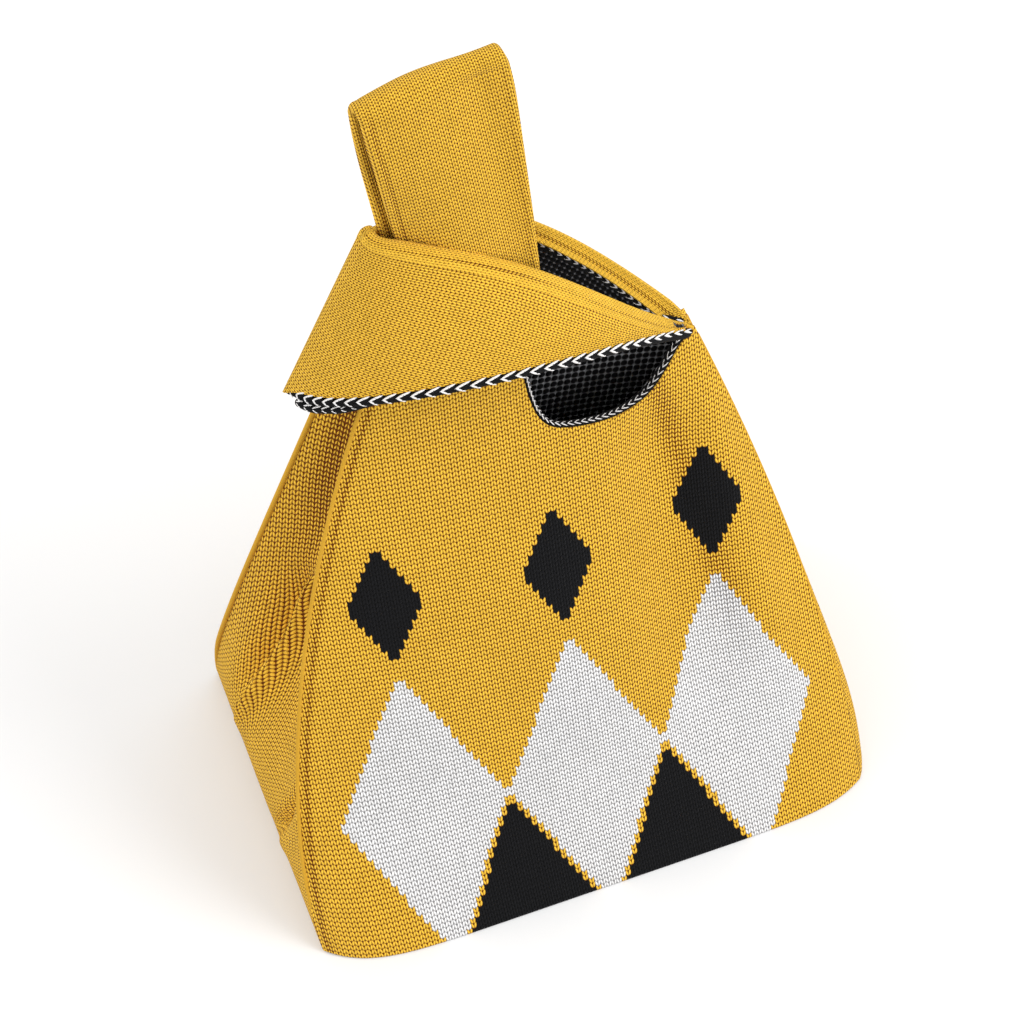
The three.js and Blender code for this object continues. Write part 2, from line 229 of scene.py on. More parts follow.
def cloth(name, material, outer, inner, stitches, wrap=False, tuck_and_shade=None):
    """A sheet between two grids (rows, columns, 3). With wrap the last column joins the first,
    and stitches then has one column more, so that the pattern doesn't run back there."""
    rows, columns = outer.shape[:2]
    count = rows * columns
    ids = np.arange(count).reshape(rows, columns)
    marks = np.arange(rows * stitches.shape[1]).reshape(rows, -1)
    if wrap:
        ids = closed(ids)
    flip = slice(None, None, -1)
    strips = [(np.stack([ids[0] + count, ids[0]]), np.stack([marks[0], marks[0]])),
              (np.stack([ids[-1], ids[-1] + count]), np.stack([marks[-1], marks[-1]]))]
    if not wrap:
        strips += [(np.stack([ids[:, 0] + count, ids[:, 0]], 1), np.stack([marks[:, 0]] * 2, 1)),
                   (np.stack([ids[:, -1], ids[:, -1] + count], 1), np.stack([marks[:, -1]] * 2, 1))]
    faces = [grid_quads(ids), grid_quads(ids)[:, flip] + count, *(grid_quads(s) for s, _ in strips)]
    corner = [grid_quads(marks), grid_quads(marks)[:, flip], *(grid_quads(m) for _, m in strips)]
    points = np.concatenate([outer.reshape(-1, 3), inner.reshape(-1, 3)])
    pairs = stitches.reshape(-1, 2)[np.concatenate(corner).ravel()]
    both = None if tuck_and_shade is None else np.tile(tuck_and_shade.ravel(), 2)
    no_triangles = np.zeros((0, 3), int)
    return piece(name, [material], points, np.concatenate(faces), no_triangles, pairs, both)


def swept(name, material, rings, stitches, tuck_and_shade=None):
    """A closed profile carried along a path: rings (stations, around, 3), ends closed by fans."""
    stations, around = rings.shape[:2]
    ids = closed(np.arange(stations * around).reshape(stations, around))
    marks = np.arange(stations * (around + 1)).reshape(stations, -1)
    points = np.concatenate([rings.reshape(-1, 3), rings[[0, -1]].mean(1)])
    ends = np.repeat(stitches[[0, -1], :1].reshape(2, 2), 3 * around, axis=0)
    pairs = np.concatenate([stitches.reshape(-1, 2)[grid_quads(marks).ravel()], ends])
    both = None if tuck_and_shade is None else np.concatenate([tuck_and_shade.ravel(), np.zeros(2)])
    return piece(name, [material], points, grid_quads(ids), fans(ids), pairs, both)


def unit(v):
    """Vectors along the last axis, each divided by its length."""
    return v / np.linalg.norm(v, axis=-1, keepdims=True)


def lengths(path):
    """Distance along a path of points (n, 3), from 0 at its start."""
    return np.concatenate([[0], np.cumsum(np.linalg.norm(np.diff(path, axis=0), axis=1))])


BESIDE_HOLE, LEAST_END = (0.25, 1.237), 0.02


def tube(name, material, path, radius, up, around=12):
    """A cord: circles of the radius round a path, square to it and drawn in to half round ends.
    Its stitch numbers stay on one place beside a hole, so that it has the mean tone of the knit."""
    along = unit(np.gradient(path, axis=0))
    side = unit(np.cross(along, up))
    rise = np.cross(side, along)
    run = lengths(path)
    near = np.minimum(np.minimum(run, run[-1] - run) / radius, 1)
    r = radius * np.sqrt(np.maximum(1 - (1 - near) ** 2, LEAST_END))[:, None, None]
    turn = 2 * np.pi * np.arange(around) / around
    ring = side[:, None] * np.cos(turn)[:, None] + rise[:, None] * np.sin(turn)[:, None]
    stitches = np.full((len(path), around + 1, 2), BESIDE_HOLE)
    return swept(name, material, path[:, None] + r * ring, stitches)


def lerp(a, b, t):
    """Straight mix of a and b."""
    return a + (b - a) * t


def smooth(x, low, high):
    """0 below low, 1 above high, and 3t^2 - 2t^3 between."""
    t = np.clip((x - low) / (high - low), 0, 1)
    return t * t * (3 - 2 * t)


def arch(t):
    """Parabola that is 0 at t = 0 and 1, and 1 halfway."""
    return 4 * t * (1 - t)


def hump(x, width):
    """Bell exp(-(x / width)^2): a soft ridge, or a valley if it is subtracted."""
    return np.exp(-(x / width) ** 2)


print("mesh helpers ready")

# %% [markdown]
# ## Mustard knit
# The bag is a double-faced cotton knit. On its face every stitch is a pair of slanted legs that
# form a V, and small dark holes show where the legs of two stitches meet: one in the middle of the
# column, and one at its side half a row higher. The legs could be modelled one by one, but there
# are some fifty thousand, so nodes draw them: each point finds its column and row, and its distance
# from the middle of its leg gives the height for the bump and the darkness of the hole.

# %% Stitches
MUSTARD, MUSTARD_GAP = "#FAC642", "#6C3200"
WHITE_YARN, WHITE_GAP = "#F6F5F4", "#8F8D8F"
BLACK_YARN, BLACK_GAP = "#161618", "#070708"
LEG_SLANT, LEG_REACH, SIDE_HOLE = 0.5, 1.7, 0.7
HOLE_START, HOLE_FULL, TUCK_AND_SHADE_HOLE = 0.62, 1.35, 0.38
STITCH_RELIEF, FUZZ_SIZE, CLOUD_SIZE = 0.9 * MM, 0.7 * MM, 28 * MM
LIVELY = 0.12
# Cotton is matt: a high roughness and little of the gloss that its IOR would give a smooth skin.
COTTON = {"Roughness": 0.9, "IOR": 1.47, "Specular IOR Level": 0.12}


def off_middle(tree, x):
    """|2 fract(x) - 1|: 0 in the middle of a cell and 1 at its sides."""
    part = add(tree, "Math", (x,), operation="FRACT")
    saw = add(tree, "Math", (part, 2.0, -1.0), operation="MULTIPLY_ADD")
    return add(tree, "Math", (saw,), operation="ABSOLUTE")


def stitch_nodes(tree):
    """Nodes for column, row, height on the leg (0 to 1) and hole (0 to 1) of the stitch pattern.
    Where the mesh is marked, the holes are larger: along a sewn line, and as painted shade where
    the left side of the pouch folds in and lies in shade.
    m = |2 fract(u) - 1| runs from the middle of a column to its side. The row is
    floor(v - slant m), and r^2 = a^2 + b^2 with a = 2 m - 1 and b = |2 fract(v - slant m) - 1|."""
    place = add(tree, "UVMap", uv_map="stitches")
    u = add(tree, "SeparateXYZ", (place,), out="X")
    v = add(tree, "SeparateXYZ", (place,), out="Y")
    column = add(tree, "Math", (u,), operation="FLOOR")
    m = off_middle(tree, u)
    slope = add(tree, "Math", (m, -LEG_SLANT, v), operation="MULTIPLY_ADD")
    row = add(tree, "Math", (slope,), operation="FLOOR")
    a = add(tree, "Math", (m, 2.0, -1.0), operation="MULTIPLY_ADD")
    b = off_middle(tree, slope)
    aa = add(tree, "Math", (a, a), operation="MULTIPLY")
    r2 = add(tree, "Math", (b, b, aa), operation="MULTIPLY_ADD")
    height = add(tree, "MapRange", {"Value": r2, "From Min": LEG_REACH, "From Max": 0.0})
    # These marks hold sewn lines and also painted shade on the folded left side.
    tuck_and_shade = add(tree, "Attribute", out="Fac", attribute_name="tuck_and_shade")
    wide = add(tree, "Math", (tuck_and_shade, TUCK_AND_SHADE_HOLE, r2), operation="MULTIPLY_ADD")
    corner = add(tree, "MapRange", {"Value": wide, "From Min": HOLE_START, "From Max": HOLE_FULL})
    share = add(tree, "MapRange", {"Value": m, "From Min": 0.75, "From Max": 0.25, "To Min": SIDE_HOLE})
    hole = add(tree, "Math", (corner, share), operation="MULTIPLY")
    return column, row, height, hole


def yarn_shade(tree, column, row):
    """A factor for the yarn's lightness: each stitch differs a little, and so do larger areas."""
    cell = add(tree, "CombineXYZ", (column, row, 0.0))
    single = add(tree, "TexWhiteNoise", {"Vector": cell}, noise_dimensions="3D")
    spot = add(tree, "TexCoord", out="Object")
    cloud = add(tree, "TexNoise", {"Vector": spot, "Scale": 1 / CLOUD_SIZE, "Detail": 3.0})
    both = add(tree, "Math", (single, cloud), operation="ADD")
    return add(tree, "MapRange", {"Value": both, "From Max": 2.0,
                                  "To Min": 1 - LIVELY, "To Max": 1 + LIVELY})


def cotton(tree, colour, relief, more):
    """Finish a material as matt cotton of the colour, with the bump and further settings."""
    skin = add(tree, "BsdfPrincipled", {**COTTON, "Base Color": colour, "Normal": relief, **more})
    add(tree, "OutputMaterial", {"Surface": skin})


def knit_surface(tree, face, gap_colour, height, hole, shade):
    """Mix yarn and hole, multiply by the shade, and raise the stitches with a bump."""
    pit = add(tree, "Math", (hole, hole), operation="MULTIPLY")
    dark = add(tree, "Math", (pit, 0.5, hole), operation="MULTIPLY_ADD", use_clamp=True)
    yarn = add(tree, "Mix", {0: dark, 6: face, 7: gap_colour}, out=2, data_type="RGBA")
    tone = add(tree, "CombineXYZ", (shade, shade, shade))
    base = add(tree, "Mix", {0: 1.0, 6: yarn, 7: tone}, out=2, data_type="RGBA", blend_type="MULTIPLY")
    spot = add(tree, "TexCoord", out="Object")
    fuzz = add(tree, "TexNoise", {"Vector": spot, "Scale": 1 / FUZZ_SIZE, "Detail": 2.0})
    rough = add(tree, "Math", (fuzz, 0.25, height), operation="MULTIPLY_ADD")
    relief = add(tree, "Bump", {"Strength": 0.8, "Distance": STITCH_RELIEF, "Height": rough})
    cotton(tree, base, relief, {"Sheen Weight": 0.05, "Sheen Roughness": 0.3})


mustard_knit, tree = new_material("mustard_cotton_knit")
column, row, height, hole = stitch_nodes(tree)
shade = yarn_shade(tree, column, row)
knit_surface(tree, linear(MUSTARD), linear(MUSTARD_GAP), height, hole, shade)
print("plain knit:", len(tree.nodes), "nodes")

# %% [markdown]
# ## Knitted-in pattern
# The front carries a large band of white and black shapes that are knitted in, so their edges step
# from stitch to stitch. Here it is a plain harlequin band: three tall white diamonds, with black
# points between them at the foot and a small black diamond above each. Working on column and row
# numbers gives the stepped edges for nothing.

# %% Harlequin band
FRONT_COLUMNS = 105
PATTERN_START, REPEAT, REPEATS = 8, 30, 3
WHITE_MIDDLE, WHITE_REACH = 27, 31
POINT_REACH, POINT_SPREAD = 25, 0.8
SMALL_MIDDLE, SMALL_REACH, SMALL_SPREAD = 74, 13, 0.42

intarsia_knit, tree = new_material("mustard_cotton_knit_harlequin")
column, row, height, hole = stitch_nodes(tree)
c = add(tree, "Math", (column, 0.5 - PATTERN_START), operation="ADD")
r = add(tree, "Math", (row, 0.5), operation="ADD")
repeat = add(tree, "Math", (c, 1 / REPEAT), operation="MULTIPLY")
from_middle = off_middle(tree, repeat)
from_side = add(tree, "Math", (1.0, from_middle), operation="SUBTRACT")
off_centre = add(tree, "Math", (c, -REPEAT * REPEATS / 2), operation="ADD")
off_centre = add(tree, "Math", (off_centre,), operation="ABSOLUTE")


def diamond(tree, across, spread, middle, reach, limit):
    """1 where across / spread + |row - middle| / reach is under 1, within limit columns of the centre."""
    off = add(tree, "Math", (r, float(-middle)), operation="ADD")
    rows = add(tree, "Math", (off,), operation="ABSOLUTE")
    up = add(tree, "Math", (rows, 1 / reach), operation="MULTIPLY")
    total = add(tree, "Math", (across, 1 / spread, up), operation="MULTIPLY_ADD")
    inside = add(tree, "Math", (total, 1.0), operation="LESS_THAN")
    near = add(tree, "Math", (off_centre, limit), operation="LESS_THAN")
    return add(tree, "Math", (inside, near), operation="MULTIPLY")


whole = REPEAT * REPEATS / 2
white = diamond(tree, from_middle, 1.0, WHITE_MIDDLE, WHITE_REACH, whole)
points = diamond(tree, from_side, POINT_SPREAD, 0, POINT_REACH, whole - REPEAT / 2)
small = diamond(tree, from_middle, SMALL_SPREAD, SMALL_MIDDLE, SMALL_REACH, whole)
black = add(tree, "Math", (points, small), operation="MAXIMUM")
yarn, pit = linear(MUSTARD), linear(MUSTARD_GAP)
for where, thread, gap in ((white, WHITE_YARN, WHITE_GAP), (black, BLACK_YARN, BLACK_GAP)):
    yarn = add(tree, "Mix", {0: where, 6: yarn, 7: linear(thread)}, out=2, data_type="RGBA")
    pit = add(tree, "Mix", {0: where, 6: pit, 7: linear(gap)}, out=2, data_type="RGBA")
knit_surface(tree, yarn, pit, height, hole, yarn_shade(tree, column, row))
print("harlequin knit:", len(tree.nodes), "nodes")

# %% [markdown]
# ## Dark dotted inside
# The other face of the cloth is a bird's-eye backing: black loops stand in rows and columns, and the
# grey floats behind them show as small crosses. Each cell is a round blob on a grey ground. In the
# short loop the cloth is pulled tight, and less grey shows.

# %% Bird's-eye backing
BLOB_PITCH, TIGHT_PITCH = np.array([2.5, 4.1]), np.array([2.4, 2.3])
GREY_FLOAT, TIGHT_FLOAT = "#DCDCE0", "#88888E"
BLOB_SIZE, TIGHT_SIZE, BLOB_FADE, BLOB_RELIEF = 0.65, 0.9, 0.6, 1.0 * MM


def birdseye_knit(name, grey, gap):
    """With x and y from 0 to 1 off the middle of a cell, black where x^2 + y^2 is under gap, then
    grey."""
    material, tree = new_material(name)
    place = add(tree, "UVMap", uv_map="stitches")
    x = off_middle(tree, add(tree, "SeparateXYZ", (place,), out="X"))
    y = off_middle(tree, add(tree, "SeparateXYZ", (place,), out="Y"))
    xx = add(tree, "Math", (x, x), operation="MULTIPLY")
    r2 = add(tree, "Math", (y, y, xx), operation="MULTIPLY_ADD")
    height = add(tree, "MapRange", {"Value": r2, "From Min": 1.4, "From Max": 0.0})
    ground = add(tree, "MapRange", {"Value": r2, "From Min": gap, "From Max": gap + BLOB_FADE})
    loops = add(tree, "Mix", {0: ground, 6: linear(BLACK_YARN), 7: linear(grey)}, out=2, data_type="RGBA")
    relief = add(tree, "Bump", {"Strength": 0.9, "Distance": BLOB_RELIEF, "Height": height})
    cotton(tree, loops, relief, {"Sheen Weight": 0.02})
    return material


dotted_knit = birdseye_knit("black_grey_birdseye_knit", GREY_FLOAT, BLOB_SIZE)
tight_knit = birdseye_knit("black_grey_birdseye_knit_tight", TIGHT_FLOAT, TIGHT_SIZE)
print("bird's-eye backing:", dotted_knit.name, tight_knit.name)

# %% [markdown]
# ## Braid yarns
# The edges are bound with a flat braid of black and white yarn. The lobes of the braid are real
# geometry, so the yarn itself only needs the fine twist of its plies, drawn as thin bands, with
# painted shade in the grooves between them.

# %% Braid yarns
PLY_PITCH = 0.6 * MM
# The bands of a wave texture of scale s lie about 0.31 / s apart.
WAVE_REPEAT = 0.31
# Painted shade: the darker tone of each yarn in the grooves between its plies.
BLACK_PLY_GROOVE_SHADE, WHITE_PLY_GROOVE_SHADE = "#0D0D0E", "#DEDBD9"


def braid_yarn(name, colour, shade):
    """Cotton yarn whose plies show as soft bands on object coordinates, with painted shade in the
    grooves between them.
    """
    material, tree = new_material(name)
    spot = add(tree, "TexCoord", out="Object")
    plies = add(tree, "TexWave", {"Vector": spot, "Scale": WAVE_REPEAT / PLY_PITCH, "Distortion": 2.0},
                out=1, bands_direction="DIAGONAL")
    tint = add(tree, "Mix", {0: plies, 6: linear(shade), 7: linear(colour)}, out=2, data_type="RGBA")
    relief = add(tree, "Bump", {"Strength": 0.4, "Distance": 0.2 * MM, "Height": plies})
    cotton(tree, tint, relief, {"Roughness": 0.88, "Sheen Weight": 0.02})
    return material


black_yarn = braid_yarn("black_cotton_yarn", BLACK_YARN, BLACK_PLY_GROOVE_SHADE)
white_yarn = braid_yarn("white_cotton_yarn", WHITE_YARN, WHITE_PLY_GROOVE_SHADE)
print("braid yarns:", black_yarn.name, white_yarn.name)

# %% [markdown]
# ## Pouch
# The pouch is knitted flat and sewn up like a paper bag: front, two bellows sides and back. Five
# flat plates would look like a box, so it is one lofted shell. Each level is a closed ring through
# the four seams, with the front and back bowed out and the sides folded in towards the top. Soft
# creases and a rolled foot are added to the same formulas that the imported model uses.

# %% Seam lines
LEFT, RIGHT, FRONT, BACK = -1, 1, -1, 1
BASE_WIDTH, BASE_DEPTH, SHOULDER = 220, 140, 207
SHOULDER_X = {LEFT: 71.5, RIGHT: 56.8}
SHOULDER_DEPTH = {LEFT: 26, RIGHT: 10}
SEAM_BULGE = {LEFT: 10.5, RIGHT: 9}
BULGE_SKEW, DEPTH_SAG = 0.8, 9


def seam_x(side, z):
    """Straight taper from base to shoulder plus a bulge: side (mix + bulge arch(t^0.8))."""
    t = z / SHOULDER
    return side * (lerp(BASE_WIDTH / 2, SHOULDER_X[side], t) + SEAM_BULGE[side] * arch(t ** BULGE_SKEW))


def seam_y(side, z):
    """Half the depth at height z: straight taper less a sag of 9 arch(t)."""
    t = z / SHOULDER
    return lerp(BASE_DEPTH / 2, SHOULDER_DEPTH[side] / 2, t) - DEPTH_SAG * arch(t)


print("seams at the shoulder:", seam_x(LEFT, SHOULDER), seam_x(RIGHT, SHOULDER))

# %% Front and back
KNIT_WALL, LINING_OUT, LINING_IN = 1.8, 2.1, 3.5
FOOT_ROLL = 1.2
BELLY, BELLY_SWELL = 7, 6
FOOT_BELLY, FOOT_SKEW = {FRONT: 10.9, BACK: 7.0}, {FRONT: 0.2, BACK: 0.0}
FOOT_POWER, FOOT_FADE = 8, 80
RIDGE_U, RIDGE_LEAN, RIDGE_HIGH, RIDGE_WIDE = 0.895, 0.085, 5.5, 0.05
HOLLOW_OFF, HOLLOW_DEEP, HOLLOW_WIDE = 0.165, 7.5, 0.09
RIDGE_GROW, RIDGE_FADE, RIDGE_LOSS = (15, 90), (165, 200), 0.8


def foot_inset(z):
    """How far the foot of a wall turns in: a quarter round of the roll's radius."""
    low = np.clip(FOOT_ROLL - z, 0, FOOT_ROLL)
    return FOOT_ROLL - np.sqrt(FOOT_ROLL ** 2 - low ** 2)


def front_creases(u, z):
    """Soft ridge at u = 0.895 + 0.085 t^2, which runs down from the right shoulder, with a hollow to
    its left. Both are bells, grow above the foot and all but fade out under the shoulder."""
    t = np.minimum(z / SHOULDER, 1)
    off = u - (RIDGE_U + RIDGE_LEAN * t ** 2)
    grow = smooth(z, *RIDGE_GROW) * (1 - RIDGE_LOSS * smooth(z, *RIDGE_FADE))
    hollow = HOLLOW_DEEP * hump(off + HOLLOW_OFF, HOLLOW_WIDE)
    return grow * (RIDGE_HIGH * hump(off, RIDGE_WIDE) - hollow)


def panel(face, u, z, inset):
    """Front or back: u runs between the seams. With m = 2u - 1 the belly is
    (7 + 6 sin(pi t)) (1 - m^2), and towards the foot it is broader, on the front
    10.9 (1 - 0.2 m) (1 - m^8)."""
    t = np.minimum(z / SHOULDER, 1)
    m = 2 * u - 1
    inset = inset + foot_inset(z)
    broad = FOOT_BELLY[face] * (1 - FOOT_SKEW[face] * m) * (1 - m ** FOOT_POWER)
    upper = (BELLY + BELLY_SWELL * np.sin(np.pi * t)) * (1 - m * m)
    belly = lerp(broad, upper, smooth(z, 0, FOOT_FADE))
    if face == FRONT:
        belly = belly + front_creases(u, z) * arch(u) ** 0.5
    x = lerp(seam_x(LEFT, z) + inset, seam_x(RIGHT, z) - inset, u)
    y = lerp(seam_y(LEFT, z), seam_y(RIGHT, z), u) - inset + belly
    return np.stack(np.broadcast_arrays(x, face * y, z), -1)


print("panel middle at 100 mm:", np.round(panel(FRONT, np.array(0.5), np.array(100.0), 0), 1))

# %% Bellows sides
FOLD_RATIO, FOLD_LEAST, FOLD_START, FOLD_FULL, FOLD_POWER = 0.95, 4, 15, 150, 1.5
BOW, BOW_GROW, BOW_POWER = {LEFT: 3.0, RIGHT: 6.2}, 40, 10
SLACK_DEPTH = (6, 18)
CREST_W, CREST_SLANT, CREST_HIGH, CREST_WIDE = 0.48, 0.0034, 12.0, 3.5
VALLEY_OFF, VALLEY_DEEP, VALLEY_WIDE = 9.5, 9.5, 6.5
CREST_GROW, CREST_FADE, VALLEY_FADE = (12, 62), (115, 155), (90, 130)
NICK_W, NICK_SLANT, NICK_CURVE, NICK_DEEP, NICK_WIDE = -0.125, 0.0135, 0.00003, 7.0, 3.5
LIP_OFF, LIP_HIGH, LIP_WIDE = 8, 2.5, 6
NICK_GROW, NICK_FADE = (3, 32), (50, 85)


def left_creases(w, z, depth):
    """A ridge that starts behind the middle of the foot and leans forward as it rises, a valley
    behind it, and low down a nick that runs to the front seam, with a lip before it. Each is a
    function of (w - path(z)) depth, in mm. The ridge is 12 / (1 + (d / 3.5)^2) and the rest bells."""
    ridge = (w - (CREST_W - CREST_SLANT * z)) * depth
    nick = (w - NICK_W + NICK_SLANT * z - NICK_CURVE * z ** 2) * depth
    crest = CREST_HIGH / (1 + (ridge / CREST_WIDE) ** 2) * (1 - smooth(z, *CREST_FADE))
    valley = VALLEY_DEEP * hump(ridge - VALLEY_OFF, VALLEY_WIDE) * (1 - smooth(z, *VALLEY_FADE))
    lift = (crest - valley) * smooth(z, *CREST_GROW)
    drop = NICK_DEEP * hump(nick, NICK_WIDE) - LIP_HIGH * hump(nick + LIP_OFF, LIP_WIDE)
    drop = drop * smooth(z, *NICK_GROW) * (1 - smooth(z, *NICK_FADE))
    return (lift - drop) * np.sqrt(1 - w ** 2)


def gusset(side, w, z, inset, creased=True):
    """Bellows side: w from -1 at the front seam to 1 at the back. It folds in by
    0.95 (depth - 4) (1 - w^2)^1.5 at the shoulder, and bows out a little near the foot."""
    inset = inset + foot_inset(z)
    rise = smooth(z, FOLD_START, FOLD_FULL)
    middle = 1 - w * w
    depth = seam_y(side, z)
    fold = FOLD_RATIO * np.maximum(0, depth - FOLD_LEAST) * rise * middle ** FOLD_POWER
    if side == LEFT:
        out = BOW[side] * (1 - rise) * middle * smooth(z, 0, BOW_GROW)
    else:
        out = BOW[side] * (1 - rise) * (1 - w ** BOW_POWER)
    if side == LEFT and creased:
        out = out + left_creases(w, z, depth)
    slack = smooth(depth, *SLACK_DEPTH)
    y = w * (depth - inset * (1 - slack * middle))
    return np.stack(np.broadcast_arrays(seam_x(side, z) - side * (inset + fold - out), y, z), -1)


print("depth of the fold at 120 mm:", np.round(gusset(LEFT, 0, 120.0, 0)[0] - seam_x(LEFT, 120), 1))

# %% Upper edge and columns of points
SCOOP, SCOOP_X, SCOOP_ROUND, NECK_TOP = 188.3, -13.2, 3.6, 245
SCOOP_FALL, FALL_SPAN = 4.5, (-6, 27)
RISE_SLOPE, RISE_START, RISE_ROUND = 0.95, 30.5, 2.2
CORNER_DROP, CORNER_START = 2.8, 0.93
SCOOP_STEPS, SEAM_STEPS = np.arange(-14, 12, 0.7), np.array([0.5, 1.0, 1.5, 2.2, 3.2])
BESIDE_SEAM = 0.994


def panel_top(u):
    """Upper edge: the neck, a drop as exp(-x / 3.6), a gentle fall to the bottom of the scoop, and a
    straight rise that starts as 2.2 log(1 + exp(x / 2.2)) and ends 2.8 mm lower at the corner."""
    x = lerp(-SHOULDER_X[LEFT], SHOULDER_X[RIGHT], u)
    drop = np.minimum(1, np.exp(-(x - SCOOP_X) / SCOOP_ROUND)) * (NECK_TOP - SCOOP - SCOOP_FALL)
    fall = SCOOP_FALL * (1 - smooth(x, *FALL_SPAN))
    rise = RISE_SLOPE * RISE_ROUND * np.log1p(np.exp((x - RISE_START) / RISE_ROUND))
    return SCOOP + drop + fall + rise - CORNER_DROP * smooth(u, CORNER_START, 1)


def panel_columns(coarse):
    """Shares across a panel: even ones, more beside the seams and at the steep side of the scoop."""
    scoop = (SCOOP_STEPS + SHOULDER_X[LEFT]) / (SHOULDER_X[LEFT] + SHOULDER_X[RIGHT])
    seam = SEAM_STEPS / FRONT_COLUMNS
    return np.unique(np.round(np.concatenate([np.linspace(0, 1, coarse), scoop, seam, 1 - seam]), 5))


def side_columns(across):
    """Places across a side from -1 to 1: even ones, and one close to each seam."""
    return np.concatenate([[-BESIDE_SEAM], np.linspace(-1, 1, across + 2)[1:-1], [BESIDE_SEAM]])


print("bottom of the scoop:", np.round(panel_top(np.linspace(0, 1, 200)).min(), 1), "mm")

# %% Stitch numbers and holes
WALE, COURSE = BASE_WIDTH / FRONT_COLUMNS, 1.88
SIDE_WALE, SIDE_COURSE = 2.4, 2.2
GRAIN_TURN, GRAIN_SPAN = 1.1, (20, 225)
# For front, right, back and left: centre, direction, stitch number at the centre and stitch width.
WALL_CENTRES, WALL_TURNS = (0.5, 0, 0.5, 0), (1, 1, -1, -1)
WALL_NUMBERS, WALL_WALES = (FRONT_COLUMNS / 2, 160, 280, 400), (WALE, WALE, WALE, SIDE_WALE)
PANEL_HOLES, SIDE_HOLES, SIDE_SPAN = 0.4, 0.65, (40, 90)
LADDER_HOLES, LADDER_COLUMN, LADDER_WIDE = 1.15, 1.5, 0.45
LOOSE_HOLES, LOOSE_U, LOOSE_WIDE, LOOSE_SPAN = 0.7, 0.835, 0.03, (60, 110)
# Painted shade: holes grow larger high on the front part of the left side, where its fold lies in shade.
FOLD_SHADE_HOLES, FOLD_SHADE_W, FOLD_SHADE_SPAN = 1.0, (0.4, 0.85), (95, 185)


def column_numbers(wall, share, centre, turn, number, wale):
    """Stitch columns of a wall: the distance from its centre at one level, in eight straight steps,
    over the wale, added to the number at the centre."""
    steps = np.stack([wall(lerp(centre, share, k)) for k in np.linspace(0, 1, 9)])
    run = np.linalg.norm(np.diff(steps, axis=0), axis=-1).sum(0)
    return number + turn * np.sign(share - centre) * run / wale


def hole_marks(column, grids, u, w):
    """Marks for larger holes: a sewn ladder beside the left front seam, a loose line on the front,
    and an open left side. High up on its front part, where the side folds in behind the front seam
    and lies in shade, the holes grow larger still: there they are painted shade."""
    front, left = grids[0][..., 2], grids[3][..., 2]
    ladder = LADDER_HOLES * hump(column[0] - column[0][:, :1] - LADDER_COLUMN, LADDER_WIDE)
    loose = LOOSE_HOLES * hump(u - LOOSE_U, LOOSE_WIDE) * smooth(front, *LOOSE_SPAN)
    plain = [np.full(part.shape, PANEL_HOLES) for part in column[1:3]]
    side = lerp(PANEL_HOLES, SIDE_HOLES, smooth(left, *SIDE_SPAN))
    # Painted shade high on the front part of the left side, where its fold lies in shade.
    fold_shade = FOLD_SHADE_HOLES * (1 - smooth(w[::-1], *FOLD_SHADE_W)) * smooth(left, *FOLD_SHADE_SPAN)
    return np.concatenate([PANEL_HOLES + ladder + loose, *plain, side + fold_shade], axis=1)


print("stitches:", round(WALE, 2), "mm wide and", COURSE, "mm high")

# %% Shell of the pouch
SIDE_TOP, SIDE_TOP_POWER = {LEFT: 228, RIGHT: 204}, 4
LEVEL_POWER, INNER_FOOT = 1.35, 0.6
SHELL_GRID, LINING_GRID = (112, 84, 46), (70, 60, 30)
LINING_FOOT, LINING_LOWER, LINING_SLACK = 2.7, 0.8, 4
LOWER_CORNER, LOWER_START = 5, 0.85


def pouch_ring(inset, foot, lower, rows, coarse, across):
    """Grid (rows, columns, 3) of the shell, its stitch numbers, and marks for larger holes. Its
    upper edge lies lower than the mouth by the given mm, and six times that at the right corner.
    The columns of the left side are counted without its creases, so they run straight over them."""
    u, w = panel_columns(coarse), side_columns(across)
    top = panel_top(u) - lower * (1 + LOWER_CORNER * smooth(u, LOWER_START, 1))
    neck = lerp(SIDE_TOP[LEFT], top[0], np.abs(w) ** SIDE_TOP_POWER)[::-1]
    shoulder = lerp(SIDE_TOP[RIGHT], top[-1], np.abs(w) ** SIDE_TOP_POWER)
    loose = (inset + LINING_SLACK * lower * (1 - w * w))[::-1]
    level = np.linspace(0, 1, rows)[:, None] ** LEVEL_POWER
    walls = [
        lambda s: panel(FRONT, s, lerp(foot, top, level), inset),
        lambda s: gusset(RIGHT, s, lerp(foot, shoulder, level), inset),
        lambda s: panel(BACK, s, lerp(foot, top[::-1], level), inset),
        lambda s: gusset(LEFT, s, lerp(foot, neck, level), loose),
    ]
    shares = [u[None], w[None], u[None, ::-1], w[None, ::-1]]
    grids = [wall(share) for wall, share in zip(walls, shares)]
    walls[3] = lambda s: gusset(LEFT, s, lerp(foot, neck, level), inset, creased=False)
    counts = zip(walls, shares, WALL_CENTRES, WALL_TURNS, WALL_NUMBERS, WALL_WALES)
    column = [column_numbers(*each) for each in counts]
    row = [grid[..., 2] / COURSE for grid in grids]
    y, z = grids[3][..., 1], grids[3][..., 2]
    row[3] = (z + GRAIN_TURN * y * (1 - smooth(z, *GRAIN_SPAN))) / SIDE_COURSE
    pairs = [np.concatenate([*parts, parts[3][:, -1:]], axis=1) for parts in (column, row)]
    return np.concatenate(grids, axis=1), np.stack(pairs, -1), hole_marks(column, grids, u, w)


